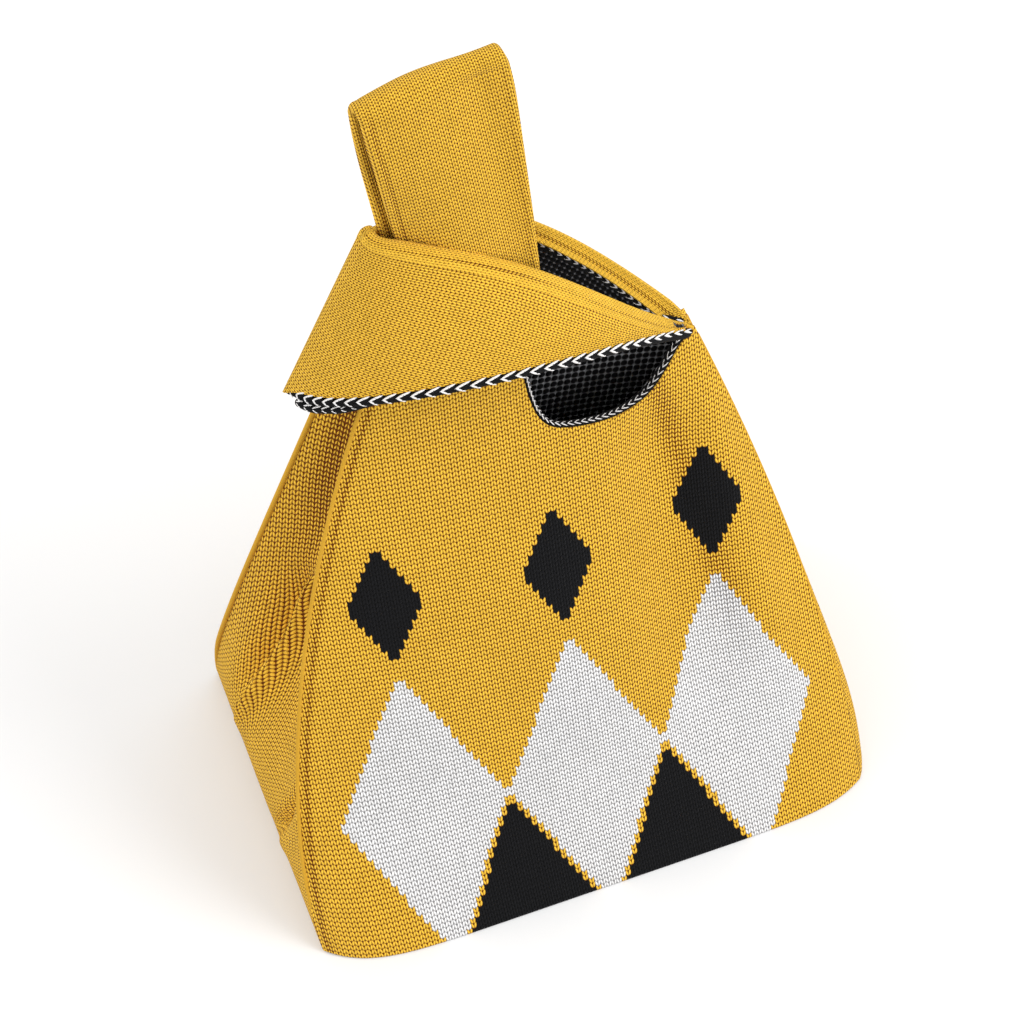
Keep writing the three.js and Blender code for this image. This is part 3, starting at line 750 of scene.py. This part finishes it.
outer, stitches, tuck_and_shade = pouch_ring(0, 0, 0, *SHELL_GRID)
inner = pouch_ring(KNIT_WALL, INNER_FOOT, 0, *SHELL_GRID)[0]
pouch = cloth("pouch_shell", intarsia_knit, outer, inner, stitches, wrap=True, tuck_and_shade=tuck_and_shade)
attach(pouch, "pouch")
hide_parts("front_panel", "back_panel", "left_gusset", "right_gusset")
print("pouch shell:", len(pouch.data.polygons), "faces")

# %% Lining of the pouch
outer, stitches, _ = pouch_ring(LINING_OUT, LINING_FOOT, LINING_LOWER, *LINING_GRID)
inner = pouch_ring(LINING_IN, LINING_FOOT, LINING_LOWER, *LINING_GRID)[0]
cells = stitches * [WALE, COURSE] / BLOB_PITCH
pouch_lining = cloth("pouch_lining", dotted_knit, outer, inner, cells, wrap=True)
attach(pouch_lining, "pouch")
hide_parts("front_lining", "back_lining", "left_gusset_lining", "right_gusset_lining")
print("pouch lining:", len(pouch_lining.data.polygons), "faces")

# %% Base and its lining
BASE_INSET, BASE_LEVELS, BASE_LINING_LEVELS = 1.0, (0.1, 2.2), (2.7, 4.1)
POLE = 1e-6


def floor_disc(name, material, inset, low, high, rings=10):
    """Flat sheet inside the pouch's foot: each ring is a share of the way out from the middle,
    where the first ring is all but a point."""
    u, w = np.linspace(0, 1, 41), np.linspace(-1, 1, 25)[1:-1]
    share = np.sqrt(np.linspace(POLE, 1, rings))[:, None, None]
    grids = []
    for z in (low, high):
        ring = np.concatenate([
            panel(FRONT, u, np.full(len(u), z), inset),
            gusset(RIGHT, w, np.full(len(w), z), inset),
            panel(BACK, u[::-1], np.full(len(u), z), inset),
            gusset(LEFT, w[::-1], np.full(len(w), z), inset),
        ])
        grids.append(ring[None] * np.concatenate([share, share, 0 * share + 1], -1))
    flat = closed(grids[0])[..., :2] / [WALE, COURSE]
    return cloth(name, material, grids[0][:, ::-1], grids[1][:, ::-1], flat[:, ::-1], wrap=True)


inner_inset = LINING_IN + BASE_INSET
base_knit = floor_disc("base_knit", mustard_knit, BASE_INSET, *BASE_LEVELS)
base_lining = floor_disc("base_inner_knit", dotted_knit, inner_inset, *BASE_LINING_LEVELS)
for obj, node, slot in (
    (base_knit, "base_panel", "mustard_knit"),
    (base_lining, "base_lining", "dotted_knit"),
):
    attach(obj, "pouch")
    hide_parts(node)
print("base:", np.round(base_knit.dimensions, 3))

# %% Pinched seams
SEAM_RADIUS = {(FRONT, LEFT): 0.7, (FRONT, RIGHT): 0.5, (BACK, LEFT): 1.0, (BACK, RIGHT): 0.5}
SEAM_STAND = {(FRONT, LEFT): 0.45, (FRONT, RIGHT): -0.3, (BACK, LEFT): 0.6, (BACK, RIGHT): -0.3}
SEAM_TOP, SEAM_TUCK, SEAM_RISE = {LEFT: 226, RIGHT: 208}, 1.6, 45

for front_back, face in (("front", FRONT), ("back", BACK)):
    for left_right, side in (("left", LEFT), ("right", RIGHT)):
        z = np.linspace(0.9, SEAM_TOP[side], 100)
        stand = SEAM_STAND[face, side] - SEAM_TUCK * (1 - smooth(z, 0, SEAM_RISE)) - foot_inset(z)
        path = np.stack([seam_x(side, z) + side * stand, face * (seam_y(side, z) + stand), z], -1)
        name = f"{front_back}_{left_right}_seam"
        ridge = tube(name + "_roll", mustard_knit, path, SEAM_RADIUS[face, side], Y_AXIS)
        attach(ridge, "pouch")
        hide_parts(name)
print("seam rolls:", len(ridge.data.polygons), "faces each")

# %% [markdown]
# ## Short loop
# The short loop is one band of cloth. It leaves the right shoulder as a narrow tip, runs round the
# front of the handle, folds at the left and comes back behind. Its two edges are curves of one
# turn: a from 0 at the tip to pi at the fold, then back behind the handle. Straight lines between
# the edges, with a little belly, give the band. The front half lifts.

# %% Band of the short loop
TIP_X, TIP_HALF = 56, 3.9
RIM_FOLD_X, RIM_TIP_Z, RIM_FOLD_Z = -58.7, 207.5, 285.8
RIM_CROWN = {FRONT: (8.2, -8.2, -2.2), BACK: (13.2, -1.7, -2.0)}
EDGE_FOLD_X, EDGE_TIP_Z, EDGE_FOLD_Z = -89.0, 207.0, 226.5
EDGE_CROWN = {FRONT: (24.8, -3.1, 1.4), BACK: (3.0, -3.1, 1.4)}
RIM_HALF, RIM_NOSE = {FRONT: 12.9, BACK: 14.0}, {FRONT: 0.92, BACK: 0.6}
EDGE_HALF, EDGE_NOSE = {FRONT: 33.0, BACK: 25.0}, {FRONT: 1.3, BACK: 1.0}
RIM_PEAK, EDGE_PEAK, EDGE_POWER = 0.77, 0.84, 0.6
BACK_DROP, DROP_POWER, NOSE_DROP, LOOP_BELLY, HALF_GAP = 18, 8, 6, 3, 0.15
NOSE_GROW, NOSE_FADE = np.pi * np.array([0.6, 0.8]), np.pi * np.array([0.9, 1.0])


def crown(shape, a):
    """Rise of an edge above the straight slope: (c0 + c1 cos a + c2 cos 2a) sin(a)^2."""
    return (shape[0] + shape[1] * np.cos(a) + shape[2] * np.cos(2 * a)) * np.sin(a) ** 2


def band(a, t, inset):
    """Point of the band: a from 0 to 2 pi round the handle, t from the rim (0) to the edge (1).
    x falls and heights rise with (1 - cos a) / 2, plus each edge's crown. The half depth is
    12.9 (sin a sin(a/2) / 0.77)^0.92 at the front rim and 33 (sin a sin(a/2)^0.6 / 0.84)^1.3 at
    the front edge, on top of the tip's own. The back half hangs up to 18 mm lower at its edge."""
    back = a > np.pi
    a = np.where(back, 2 * np.pi - a, a)
    face = np.where(back, BACK, FRONT)
    pick = lambda pair: np.where(back, pair[BACK], pair[FRONT])
    turn, swell, sine = (1 - np.cos(a)) / 2, np.sin(a) ** 2, np.maximum(np.sin(a), 0)
    tip = TIP_HALF * np.cos(a / 2) ** 2
    rim = tip + pick(RIM_HALF) * (sine * np.sin(a / 2) / RIM_PEAK) ** pick(RIM_NOSE)
    bulge = sine * np.sin(a / 2) ** EDGE_POWER / EDGE_PEAK
    edge = tip + pick(EDGE_HALF) * bulge ** pick(EDGE_NOSE)
    behind = smooth(a, *NOSE_GROW) * (1 - smooth(a, *NOSE_FADE))
    drop = BACK_DROP * turn * (1 - (a / np.pi) ** DROP_POWER) * t + NOSE_DROP * behind * (1 - t)
    drop = np.where(back, drop, 0)
    rise = lambda crowns: np.where(back, crown(crowns[BACK], a), crown(crowns[FRONT], a))
    rim_z = lerp(RIM_TIP_Z, RIM_FOLD_Z, turn) + rise(RIM_CROWN)
    edge_z = lerp(EDGE_TIP_Z, EDGE_FOLD_Z, turn) + rise(EDGE_CROWN)
    half = lerp(rim, edge, t) + LOOP_BELLY * arch(t) * swell
    half = half - inset * (1 - smooth(a, 0.8 * np.pi, np.pi))
    x = lerp(TIP_X, lerp(RIM_FOLD_X, EDGE_FOLD_X, t) + inset, turn)
    y = face * (np.maximum(half, 0) + HALF_GAP)
    return np.stack(np.broadcast_arrays(x, y, lerp(rim_z, edge_z, t) - drop), -1)


LOOP_GAUGE, LOOP_HOLES = np.array([1.6, 1.65]), 0.2
BRAID_WIDTH, FOLD_NARROW, FOLD_TURN = 4.3, 0.9, 0.16
RUN_LINE, LEAST_WIDTH = 0.6, 6


def band_run(a):
    """Distance along the band at 0.6 of its width, for turns a (n,)."""
    return lengths(band(a, RUN_LINE + 0 * a, 0))


def band_width(a):
    """Straight distance from rim to edge, for turns a (n,), but 6 mm at least at the tips."""
    return np.maximum(np.linalg.norm(band(a, 1 + 0 * a, 0) - band(a, 0 * a, 0), axis=-1), LEAST_WIDTH)


a = np.linspace(0, 2 * np.pi, 260)
run, wide = band_run(a), band_width(a)
strip = BRAID_WIDTH * (1 - FOLD_NARROW * hump(a - np.pi, FOLD_TURN))
t = np.linspace(0, 1, 48)[:, None] * (1 - strip / wide)
down = t * wide
stitches = np.stack(np.broadcast_arrays(down, run[None]), -1)
tuck_and_shade = np.full(stitches.shape[:2], LOOP_HOLES)
short_loop = cloth("short_loop_knit", mustard_knit, band(a[None], t, 0), band(a[None], t, KNIT_WALL),
                   stitches / LOOP_GAUGE, tuck_and_shade=tuck_and_shade)
inside = slice(14, -14)
outer, inner = (band(a[None], t, inset)[:, inside] for inset in (LINING_OUT, LINING_IN))
cells = stitches[:, inside] / TIGHT_PITCH
loop_lining = cloth("short_loop_inner_knit", tight_knit, outer, inner, cells)
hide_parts("short_loop_front", "short_loop_back")
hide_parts("short_loop_front_lining", "short_loop_back_lining")
print("short loop:", len(short_loop.data.polygons), "faces, up to", round(wide.max()), "mm wide")

# %% Hem on the rim of the short loop
HEM_OUTSIDE, HEM_INSIDE, HEM_LEAN, HEM_RIDGE = 2.0, {FRONT: 4.5, BACK: 6.8}, 5.0, 1.5
HEM_HOLES, HEM_STITCHES = -0.8, 2.4
INSIDE_LINE, INSIDE_WIDE, OUTSIDE_LINE, OUTSIDE_WIDE = 0.45, 0.8, 3.2, 0.5
LEAN_GROW, LEAN_FADE = (0.1, 0.5), (1.3, 1.75)
HEM_FLAT, RIDGE_PLACE, RIDGE_SPREAD = 0.8, 0.85, 0.12
HEM_FACES = ((-0.12, LINING_IN + 0.5), (-0.02, LINING_IN + 0.03))


def hem_lean(from_tip):
    """How far the foot of the back hem leans in, for turns from the tip: full in the middle."""
    return HEM_LEAN * smooth(from_tip, *LEAN_GROW) * (1 - smooth(from_tip, *LEAN_FADE))


def hem_profile(low, high):
    """Inset, height over the rim, and shares down the inside and the outside: up the inside at
    inset high, in a flat half round over the rim, and down the outside at inset low."""
    turn = np.linspace(np.pi, 0, 9)
    centre, radius = (low + high) / 2, (high - low) / 2
    up, down = np.linspace(1, 0, 10)[:-1], np.linspace(0, 1, 6)[1:]
    inset = np.concatenate([0 * up + high, centre - radius * np.cos(turn), 0 * down + low])
    over = np.concatenate([0 * up, HEM_FLAT * radius * np.sin(turn), 0 * down])
    inside = np.concatenate([up, 0 * turn, 0 * down])
    outside = np.concatenate([0 * up, 0 * turn, down])
    return [part[:, None] for part in (inset, over, inside, outside)]


a = np.linspace(0.03, 1.97, 240) * np.pi
run, wide = band_run(a), band_width(a)
from_tip = np.minimum(a, 2 * np.pi - a)
deep = np.where(a > np.pi, HEM_INSIDE[BACK], HEM_INSIDE[FRONT]) * smooth(from_tip, 0, 0.25)
lean = np.where(a > np.pi, hem_lean(from_tip), 0)
faces = []
for low, high in HEM_FACES:
    inset, over, inside, outside = hem_profile(low, high)
    depth = inside * deep + outside * HEM_OUTSIDE - over
    ridge = HEM_RIDGE * hump(inside - RIDGE_PLACE, RIDGE_SPREAD) * (a > np.pi)
    faces.append(band(a[None], depth / wide, inset + inside * lean + ridge))
over_run = np.cumsum(np.linalg.norm(np.diff(faces[0], axis=0, prepend=faces[0][:1]), axis=2), axis=0)
line = hump((inside - INSIDE_LINE) * deep, INSIDE_WIDE) * (inside > 0)
line = line + hump(over_run[-1] - over_run - OUTSIDE_LINE, OUTSIDE_WIDE)
stitches = np.stack(np.broadcast_arrays(over_run, run[None]), -1) / LOOP_GAUGE
tuck_and_shade = HEM_HOLES + HEM_STITCHES * line
hem = cloth("short_loop_rim_hem", mustard_knit, *faces, stitches, tuck_and_shade=tuck_and_shade)
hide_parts("short_loop_front_hem", "short_loop_back_hem")
for obj in (short_loop, loop_lining, hem):
    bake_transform(obj)
print("rim hem:", round(run[-1]), "mm long")

# %% [markdown]
# ## Braided edges
# The edge of the mouth and of the short loop is a flat braid: slanted lobes of black and white
# yarn that meet in arrowheads. Each lobe is a small spindle with two dozen faces, copied along the
# edge by array arithmetic, two to an arrowhead, black and white in turn. A dark core fills the
# space behind them.

# %% Lobes of the braid
def spindle():
    """Unit spindle along x: rings of six at three places, closed by a point at each end."""
    place, radius = np.array([-0.6, 0.0, 0.6]), np.array([0.72, 1.0, 0.72])
    turn = 2 * np.pi * np.arange(6) / 6
    rings = np.stack(np.broadcast_arrays(
        place[:, None], radius[:, None] * np.cos(turn), radius[:, None] * np.sin(turn)), -1)
    ids = closed(np.arange(18).reshape(3, 6))
    ends = np.array([[-1.0, 0, 0], [1.0, 0, 0]])
    return np.concatenate([rings.reshape(-1, 3), ends]), grid_quads(ids), fans(ids)


ARMS = {"black": (0.0, 0.7, 0.8, 0.8, 0.85, 0.0), "white": (0.16, 0.8, 1.6, 1.4, 0.36, 0.4)}
FIRST_POINT, LOBE_REACH = 0.6, 0.58


def braid(name, path, across, out, pitches, size):
    """Arrowheads along a path (n, 3): a fat black one with a thin white one round its point. ARMS
    gives how far ahead its point lies and how far its arms run back, in pitches, then how far they
    spread up and down, their radius and how far they stand out, in mm for size 1. The size is given
    along the path. The pitch goes from the first to the second of pitches, so with q their ratio
    arrowhead k of n lies at the share (q^(k/n) - 1) / (q - 1) of the path."""
    run = lengths(path)
    first, last = pitches
    count = max(2, round(run[-1] * np.log(last / first) / (last - first)))
    points, quads, triangles = spindle()
    parts = []
    for ahead, back, up, down, radius, stand in ARMS.values():
        k = np.arange(count) + FIRST_POINT + ahead
        place = run[-1] * ((last / first) ** (k / count) - 1) / (last / first - 1)
        pitch = lerp(first, last, place / run[-1])[:, None]
        at = lambda values: np.stack([np.interp(place, run, values[:, i]) for i in range(3)], -1)
        side, face, along = unit(at(across)), unit(at(out)), unit(at(np.gradient(path, axis=0)))
        grow = np.interp(place, run, np.broadcast_to(size, run.shape))[:, None]
        for spread in (-up, down):
            arm = spread * grow * side - back * pitch * along
            lean = unit(arm)
            flank = unit(np.cross(face, lean))
            reach = LOBE_REACH * np.linalg.norm(arm, axis=1)[:, None, None]
            thick = points[:, 1:2] * flank[:, None] + points[:, 2:3] * face[:, None]
            thick = radius * grow[:, None] * thick
            middle = at(path) + arm / 2 + stand * grow * face
            parts.append(middle[:, None] + reach * points[:, 0:1] * lean[:, None] + thick)
    blob = np.stack(parts).reshape(-1, 3)
    shift = (len(points) * np.arange(4 * count))[:, None, None]
    q = (quads[None] + shift).reshape(-1, 4)
    tri = (triangles[None] + shift).reshape(-1, 3)
    no_stitches = np.zeros((4 * len(q) + 3 * len(tri), 2))
    obj = piece(name, (black_yarn, white_yarn), blob, q, tri, no_stitches)
    kind = np.repeat([0, 1], 2 * count)
    obj.data.polygons.foreach_set("material_index", np.concatenate([
        np.repeat(kind, len(quads)), np.repeat(kind, len(triangles))]).astype(np.int32))
    return obj


def edging(name, path, across, out, pitches, size, core, up):
    """A braid and the dark core behind it, which lies core[0] mm across from the path and core[1] mm
    back, with the radius core[2]."""
    edge = braid(name + "_braid", path, across, out, pitches, size)
    core_path = path + core[0] * across - core[1] * out
    return edge, tube(name + "_core", black_yarn, core_path, core[2], up)


print("one lobe:", sum(len(faces) for faces in spindle()[1:]), "faces")

# %% Braid on the edge of the short loop
BRAID_MIDDLE, FOLD_INSET, FOLD_INSET_TURN = 0.6, 1.4, 0.3
EDGE_SIZE, EDGE_GROW = (0.5, 1.2), (0.05, 0.22)
EDGE_CORE = (0.1 * BRAID_WIDTH, 1.0, 1.4)


def band_frame(a, t, inset):
    """Path on the band at shares t, with its directions down the band and out of it."""
    path = band(a, t, inset)
    down = unit(band(a, t, 0) - band(a, t - 0.05, 0))
    return path, down, unit(np.cross(unit(np.gradient(path, axis=0)), down))


for name, low, high, pitches in (
    ("front", 0.075, 0.985, (6.8, 3.8)),
    ("back", 1.015, 1.85, (3.8, 6.8)),
):
    a = np.linspace(low, high, 300) * np.pi
    share = 1 - BRAID_MIDDLE * BRAID_WIDTH / band_width(a)
    path, down, out = band_frame(a, share, FOLD_INSET * hump(a - np.pi, FOLD_INSET_TURN))
    size = lerp(*EDGE_SIZE, smooth(np.sin(a / 2), *EDGE_GROW))
    edge_braid, core = edging(f"short_loop_{name}_edge", path, down, out, pitches, size,
                              EDGE_CORE, Z_AXIS)
    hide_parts(f"short_loop_{name}_braid")
    for obj in (edge_braid, core):
        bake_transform(obj)
print("edge braid:", len(edge_braid.data.polygons), "faces on the back half")

# %% Facing edges inside the loop
FACING_START, FACING_END, FACING_PEEK, FACING_HIDE = 0.7 * np.pi, 0.94 * np.pi, 4.5, 1.5
FACING_FULL, FACING_FALL, FACING_LOSS = 0.82 * np.pi, 0.86 * np.pi, 0.35
FACING_INSET, FACING_PITCHES, FACING_CORE = LINING_IN - 1.2, (4.2, 3.6), (0.3, 0.8, 1.5)

a = np.linspace(FACING_START, FACING_END, 120)
peek = smooth(a, FACING_START, FACING_FULL) * (1 - FACING_LOSS * smooth(a, FACING_FALL, FACING_END))
peek = FACING_PEEK * peek - FACING_HIDE
path, down, out = band_frame(a, 1 + peek / band_width(a), FACING_INSET)
facing, facing_core = edging("short_loop_facing", path, down, out, FACING_PITCHES, 1.0,
                             FACING_CORE, Z_AXIS)
for obj in (facing, facing_core):
    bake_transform(obj)
print("facing braid:", len(facing.data.polygons), "faces")

# %% Braid inside the back hem
HEM_BRAID_DOWN, HEM_BRAID_WIDTH = HEM_INSIDE[BACK] + 0.5, 12
HEM_BRAID_SIZE, HEM_PITCHES, HEM_CORE = (0.6, 1.05), (2.8, 4.6), (0.9, 0.9, 1.5)

a = np.linspace(1.2, 1.93, 300) * np.pi
share = HEM_BRAID_DOWN / np.maximum(band_width(a), HEM_BRAID_WIDTH)
path, down, out = band_frame(a, share, LINING_IN + hem_lean(2 * np.pi - a))
size = lerp(*HEM_BRAID_SIZE, smooth(a, 1.4 * np.pi, 1.8 * np.pi))
inner_braid, inner_core = edging("short_loop_inner_hem", path, down, -out, HEM_PITCHES, size,
                                 HEM_CORE, Z_AXIS)
for obj in (inner_braid, inner_core):
    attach(obj, "pouch")
print("inner hem braid:", len(inner_braid.data.polygons), "faces")

# %% Braids on the mouth
MOUTH_START, MOUTH_INSET, MOUTH_STAND = 0.46, 0.9, 1.2
MOUTH_SIZE, MOUTH_PITCHES, MOUTH_CORE = 0.65, (3.4, 2.0), (-0.9, 0.3 + MOUTH_STAND, 1.6)

for name, face, end in (("front", FRONT, 0.985), ("back", BACK, 0.95)):
    u = panel_columns(400)
    u = u[(u > MOUTH_START) & (u < end)][::-1]
    edge_path = panel(face, u, panel_top(u), MOUTH_INSET)
    edge_along = unit(np.gradient(edge_path, axis=0))
    edge_out = -face * unit(np.cross(Z_AXIS, edge_along))
    edge_up = -face * unit(np.cross(edge_along, edge_out))
    braid_path = edge_path + MOUTH_STAND * edge_up
    mouth, core = edging(f"{name}_mouth", braid_path, edge_out, edge_up, MOUTH_PITCHES, MOUTH_SIZE,
                         MOUTH_CORE, Y_AXIS)
    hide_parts(f"{name}_neckline_braid")
    for obj in (mouth, core):
        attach(obj, "pouch")
print("mouth braid:", len(mouth.data.polygons), "faces")

# %% [markdown]
# ## Handle
# The handle is a long strap, doubled over at the top. It could be two flat strips, but a rounded
# slab carried up, over and down in one go keeps the fold soft. The front layer narrows towards the
# loop and the back layer does not, so the dark slot between them shows at the left. A sewn line is
# a shallow groove beside each edge.

# %% Strap
HANDLE_PLACE = np.array([-24.5, 0, 278.0])
LEAN = np.radians(10)
ACROSS = np.array([np.cos(LEAN), 0, np.sin(LEAN)])
ALONG = np.array([-np.sin(LEAN), 0, np.cos(LEAN)])
STRAP_TOP, TOP_RADIUS, ROOT_LENGTH, BEND_HEIGHT = 62.3, 4.8, 50, 24
ROOT_DEPTH, TOP_DEPTH = 16.8, 9.6
STRAP_EDGES = {LEFT: {FRONT: (-23.2, -24.4), BACK: (-27.6, -26.0)},
               RIGHT: {FRONT: (20.5, 25.2), BACK: (19.2, 24.6)}}
TOP_DRAW = {LEFT: 0.8, RIGHT: 1.3}
TOP_FALL, ROOT_PINCH = 2.0, 0.7
STRAP_HALF = LINING_IN / 2
STRAP_GAUGE, ROW_CROWDING = np.array([1.6, 1.6]), 2.6
DRAW_SPREAD, FLAT = 11, 0.99
SEWN_LINE, SEWN_WIDE, SEWN_DEEP, SEWN_LOSS, SEWN_FADE = 3.0, 0.6, 0.22, 0.7, (0, 10)
EDGE_ROLL, EDGE_ROLL_PLACE, TOP_WAVE = 0.1, 1.5, 0.7
LEG_SWELL, SWELL_PLACE, SWELL_WIDE = 1.8, -6, 13
LEG_DENT, DENT_PLACE, DENT_WIDE = 1.5, 14, 6
PINCH_SPAN, PINCH_FADE, FALL_HALF, FALL_POWER, FALL_GROW = (4, 24), (12, 45), 24.5, 1.6, (20, 60)


def strap_line(legs, over):
    """Middle of the strap: depth, height and share of the way over (0 front, 1 back), each (n,)."""
    z = np.linspace(-ROOT_LENGTH, STRAP_TOP, legs)
    half = lerp(ROOT_DEPTH, TOP_DEPTH, np.maximum(z, 0) / STRAP_TOP) / 2 - STRAP_HALF
    turn = np.linspace(0, np.pi, over)[1:-1]
    r = TOP_RADIUS - STRAP_HALF
    y = np.concatenate([-half, -r * np.cos(turn), half[::-1]])
    share = np.concatenate([0 * z, turn / np.pi, 0 * z + 1])
    return y, np.concatenate([z, STRAP_TOP + r * np.sin(turn), z[::-1]]), share


def strap_edge(side, z, share, off):
    """Place of a side edge: it differs from front to back, widens upwards, and is drawn in by a bell
    at the fold, where off is the distance along the strap from its top."""
    up = np.clip(z, -ROOT_LENGTH / 2, STRAP_TOP) / STRAP_TOP
    front, back = (lerp(*STRAP_EDGES[side][face], up) for face in (FRONT, BACK))
    return lerp(front, back, smooth(share, 0, 1)) - side * TOP_DRAW[side] * hump(off, DRAW_SPREAD)


def slab(flat, ends):
    """Profile of a rounded slab: share across, push past the edge, and thickness, each (n,)."""
    side, turn = np.linspace(0, 1, flat), np.linspace(0, np.pi, ends)[1:-1]
    share = np.concatenate([side, 0 * turn + 1, side[::-1], 0 * turn])
    push = np.concatenate([0 * side, np.sin(turn), 0 * side, -np.sin(turn)])
    thick = np.concatenate([0 * side + 1, np.cos(turn), 0 * side - 1, -np.cos(turn)])
    return share, push, thick


y, z, over = (part[:, None] for part in strap_line(90, 26))
across, push, thick = slab(60, 9)
line = np.concatenate([0 * y, y, z], axis=1)
tangent = unit(np.gradient(line, axis=0))
normal_y, normal_z = -tangent[:, 2:], tangent[:, 1:2]
normal = np.concatenate([0 * y, normal_y, normal_z], axis=1)
outside = lengths(line + STRAP_HALF * normal)[:, None]
courses = lengths(line + ROW_CROWDING * STRAP_HALF * normal)[:, None]
off = outside - outside[-1] / 2
low, high = strap_edge(LEFT, z, over, off), strap_edge(RIGHT, z, over, off)
p = lerp(low + STRAP_HALF, high - STRAP_HALF, across) + push * STRAP_HALF
edge = np.minimum(p - low, high - p)
leg = 1 - np.sin(np.pi * over)
groove = hump(edge - SEWN_LINE, SEWN_WIDE) * (np.abs(thick) > FLAT)
groove = groove * leg * (1 - SEWN_LOSS * smooth(p, *SEWN_FADE))
roll = EDGE_ROLL * leg * hump(edge - EDGE_ROLL_PLACE, EDGE_ROLL_PLACE)
rolled = STRAP_HALF * (1 - SEWN_DEEP * groove + roll) * thick
swell = LEG_SWELL * hump(p - SWELL_PLACE, SWELL_WIDE) - LEG_DENT * hump(p - DENT_PLACE, DENT_WIDE)
push_out = rolled + lerp(TOP_WAVE * arch((p - low) / (high - low)), swell, leg)
pinch = 1 - ROOT_PINCH * smooth(-p, *PINCH_SPAN) * (1 - smooth(z, *PINCH_FADE))
fall = TOP_FALL * (np.maximum(-p, 0) / FALL_HALF) ** FALL_POWER * smooth(z, *FALL_GROW)
depth, height = y * pinch + normal_y * push_out, z + normal_z * push_out - fall
rings = HANDLE_PLACE + p[..., None] * ACROSS + depth[..., None] * Y_AXIS + height[..., None] * ALONG
stitches = np.stack(np.broadcast_arrays(closed(p), courses), -1) / STRAP_GAUGE
strap = swept("handle_strap_knit", mustard_knit, rings, stitches, tuck_and_shade=LOOP_HOLES + groove)
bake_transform(strap)
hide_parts("handle_strap", "handle_lining", "handle_left_hem", "handle_right_hem",
            "handle_front_root", "handle_back_root")
print("handle strap:", len(strap.data.polygons), "faces")
